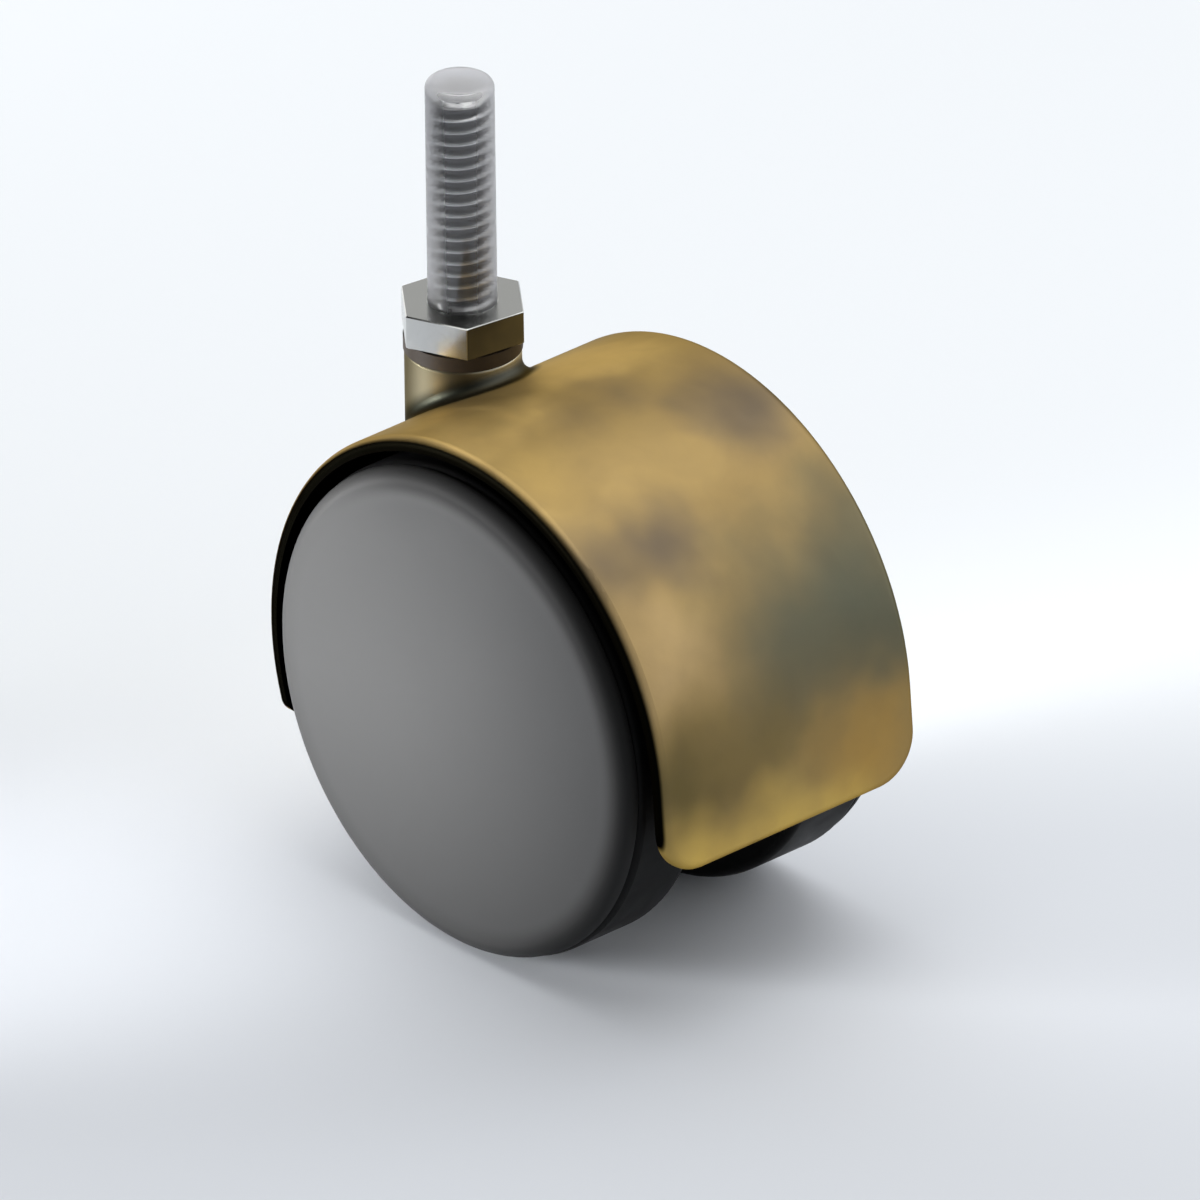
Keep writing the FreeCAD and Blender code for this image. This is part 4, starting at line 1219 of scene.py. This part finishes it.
@dataclass
class Studio:
    """Pale floor, soft lamps and the camera. Lengths in metres, turns in degrees."""

    floor_height: float
    aim: Vector
    yaw: float = 42.22
    pitch: float = 27.85
    roll: float = -0.63
    focal_pixels: float = 28000.0
    distance: float = 2.67478
    off_right: float = -1.4917 * MM
    off_up: float = -5.4667 * MM
    floor_side: float = 12.0
    floor_colour: Colour = display(222, 226, 232)
    wall_colour: Colour = display(242, 246, 250)
    wall_start: float = 0.005
    wall_end: float = 0.05
    dim_turn: float = -102.0
    dim_rise: float = 20.0
    dim_core: float = 50.0
    dim_edge: float = 86.0
    room_light: Colour = (0.9, 0.9, 0.9)
    room_dim: Colour = (0.03, 0.03, 0.03)
    floor_rough: float = 0.9
    nearest: float = 0.05
    farthest: float = 50.0

    def build(self) -> None:
        """Build the floor, the lamps, the world and the camera."""
        bpy.context.scene.view_settings.view_transform = "Standard"
        self._camera()
        self._floor()
        self._world()
        for lamp in SOFT_BOXES:
            self._lamp(lamp)

    def _away(self) -> Vector:
        """Give the level direction from the camera to the castor."""
        turn = math.radians(self.yaw)
        return Vector((-math.cos(turn), math.sin(turn), 0.0))

    def _camera(self) -> None:
        """Place the camera at the photograph's angle and distance."""
        tilt = math.radians(self.pitch)
        lean = math.radians(self.roll)
        away = self._away()
        level_right = Vector((away.y, -away.x, 0.0))
        ahead = away * math.cos(tilt) - Vector((0, 0, math.sin(tilt)))
        level_up = Vector((0, 0, math.cos(tilt))) + away * math.sin(tilt)
        right = level_right * math.cos(lean) + level_up * math.sin(lean)
        up = level_up * math.cos(lean) - level_right * math.sin(lean)
        eye = self.aim - right * self.off_right - up * self.off_up - ahead * self.distance
        data = bpy.data.cameras.new("camera")
        data.sensor_width = SENSOR_WIDTH
        data.lens = self.focal_pixels * SENSOR_WIDTH / IMAGE_SIDE
        data.clip_start = self.nearest
        data.clip_end = self.farthest
        camera = bpy.data.objects.new("camera", data)
        basis = Matrix((right, up, -ahead)).transposed()
        camera.matrix_world = Matrix.Translation(eye) @ basis.to_4x4()
        bpy.context.scene.collection.objects.link(camera)
        bpy.context.scene.camera = camera

    def _floor(self) -> None:
        """Lay the floor, a little paler behind the castor than in front of it."""
        bm = bmesh.new()
        bmesh.ops.create_grid(bm, x_segments=1, y_segments=1, size=self.floor_side / 2)
        bmesh.ops.translate(bm, verts=bm.verts, vec=(0, 0, self.floor_height))
        mesh = bpy.data.meshes.new("floor")
        bm.to_mesh(mesh)
        bm.free()
        floor = bpy.data.objects.new("floor", mesh)
        bpy.context.scene.collection.objects.link(floor)
        shader = Shader("pale_floor")
        behind = shader.vector("SUBTRACT", shader.place(), tuple(self.aim))
        depth = shader.vector("DOT_PRODUCT", behind, tuple(self._away()))
        share = shader.fade(depth, self.wall_start, self.wall_end)
        colour = shader.blend(share, self.floor_colour, self.wall_colour)
        shader.set(Base_Color=colour, Roughness=self.floor_rough, Specular_IOR_Level=0.0)
        mesh.materials.append(shader.material)

    def _world(self) -> None:
        """Give a pale surround that is dim on one side, as in a room with its windows on the other sides."""
        world = bpy.data.worlds.new("surround")
        world.use_nodes = True
        room = Shader("surround", world.node_tree)
        ground = world.node_tree.nodes["Background"]
        turn = math.radians(self.dim_turn)
        lift = math.radians(self.dim_rise)
        dim_side = (math.cos(turn) * math.cos(lift), math.sin(turn) * math.cos(lift), math.sin(lift))
        outward = room.add("TexCoord").outputs["Generated"]
        facing = room.vector("DOT_PRODUCT", outward, dim_side)
        core = math.cos(math.radians(self.dim_core))
        edge = math.cos(math.radians(self.dim_edge))
        share = room.fade(facing, edge, core)
        room.feed(ground.inputs["Color"], room.blend(share, self.room_light, self.room_dim))
        ground.inputs["Strength"].default_value = 1.0
        bpy.context.scene.world = world

    def _lamp(self, box: SoftBox) -> None:
        """Hang one square soft box that faces its aim.

        Args:
            box: the soft box.
        """
        data = bpy.data.lights.new(box.name, "AREA")
        data.shape = "SQUARE"
        data.size = box.side
        data.energy = box.radiance * math.pi * box.side**2
        data.spread = math.radians(box.spread)
        lamp = bpy.data.objects.new(box.name, data)
        towards = Matrix.Rotation(math.radians(box.turn), 3, "Z") @ -self._away()
        lift = math.radians(box.rise)
        direction = towards * math.cos(lift) + Vector((0, 0, math.sin(lift)))
        spot = self.aim + Vector(box.aim_shift) * MM
        lamp.location = spot + direction * box.far
        lamp.rotation_mode = "QUATERNION"
        lamp.rotation_quaternion = (-direction).to_track_quat("-Z", "Y")
        lamp.visible_camera = False
        bpy.context.scene.collection.objects.link(lamp)


def main() -> None:
    """Build the castor's finish, piece by piece, then the studio."""
    logging.basicConfig(level=logging.INFO, format="%(name)s: %(message)s")
    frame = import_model()
    nodes = frame["nodes"]
    effects = SharedEffects()

    plate = BrightPlate(
        crest_radius=ThreadedStem.crest_radius * MM,
        thread_depth=ThreadedStem.thread_depth * MM,
        thread_end=(ThreadedStem.thread_length - ThreadedStem.clean_chamfer * ThreadedStem.end_chamfer) * MM,
        recess_radius=ThreadedStem.relief_radius * MM,
        flat_radius=ThreadedStem.across_flats * MM / 2,
    ).material(effects)
    steel = PlainSteel().material(effects)
    vinyl = ClearVinyl().material(effects)
    nylon = MouldedPlastic(
        "dark_nylon", tint=display(50, 40, 29), second_tint=display(38, 30, 23), gloss=(0.42, 0.54),
        cloud_scale=300.0, grain_scale=3000.0, grain_depth=0.3, mirror=0.25,
    ).material(effects)
    core = MouldedPlastic(
        "black_nylon", tint=display(18, 18, 18), second_tint=display(13, 13, 14), gloss=(0.4, 0.55),
        cloud_scale=180.0, grain_scale=2600.0, grain_depth=0.3, mirror=0.2,
    ).material(effects)
    tread = MouldedPlastic(
        "black_tread", tint=display(15, 15, 15), second_tint=display(10, 10, 11), gloss=(0.4, 0.52),
        cloud_scale=200.0, grain_scale=2200.0, grain_depth=0.25, mirror=0.06,
    ).material(effects)
    low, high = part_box("right_face_cover")
    face = SatinFace(
        "charcoal_face", tint=display(58, 58, 58), second_tint=display(54, 54, 54), gloss=(0.34, 0.42),
        cloud_scale=90.0, grain_scale=3600.0, grain_depth=0.12, mirror=0.3,
        middle=((low.x + high.x) / 2, 0.0, (low.z + high.z) / 2), rim=(high.x - low.x) / 2,
    ).material(effects)

    ThreadedStem(plate).build()
    ThreadCap(vinyl).build()
    Hood(nodes, effects, steel, nylon).build()
    for hand in Hand:
        Wheel(hand, nodes, core, tread, face, nylon).build()

    low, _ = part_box("right_tyre")
    joint = next(item for item in frame["joints"] if item["name"] == "right_wheel_spin")
    Studio(floor_height=low.z, aim=Vector(joint["pos_m"])).build()


if __name__ == "__main__":
    main()
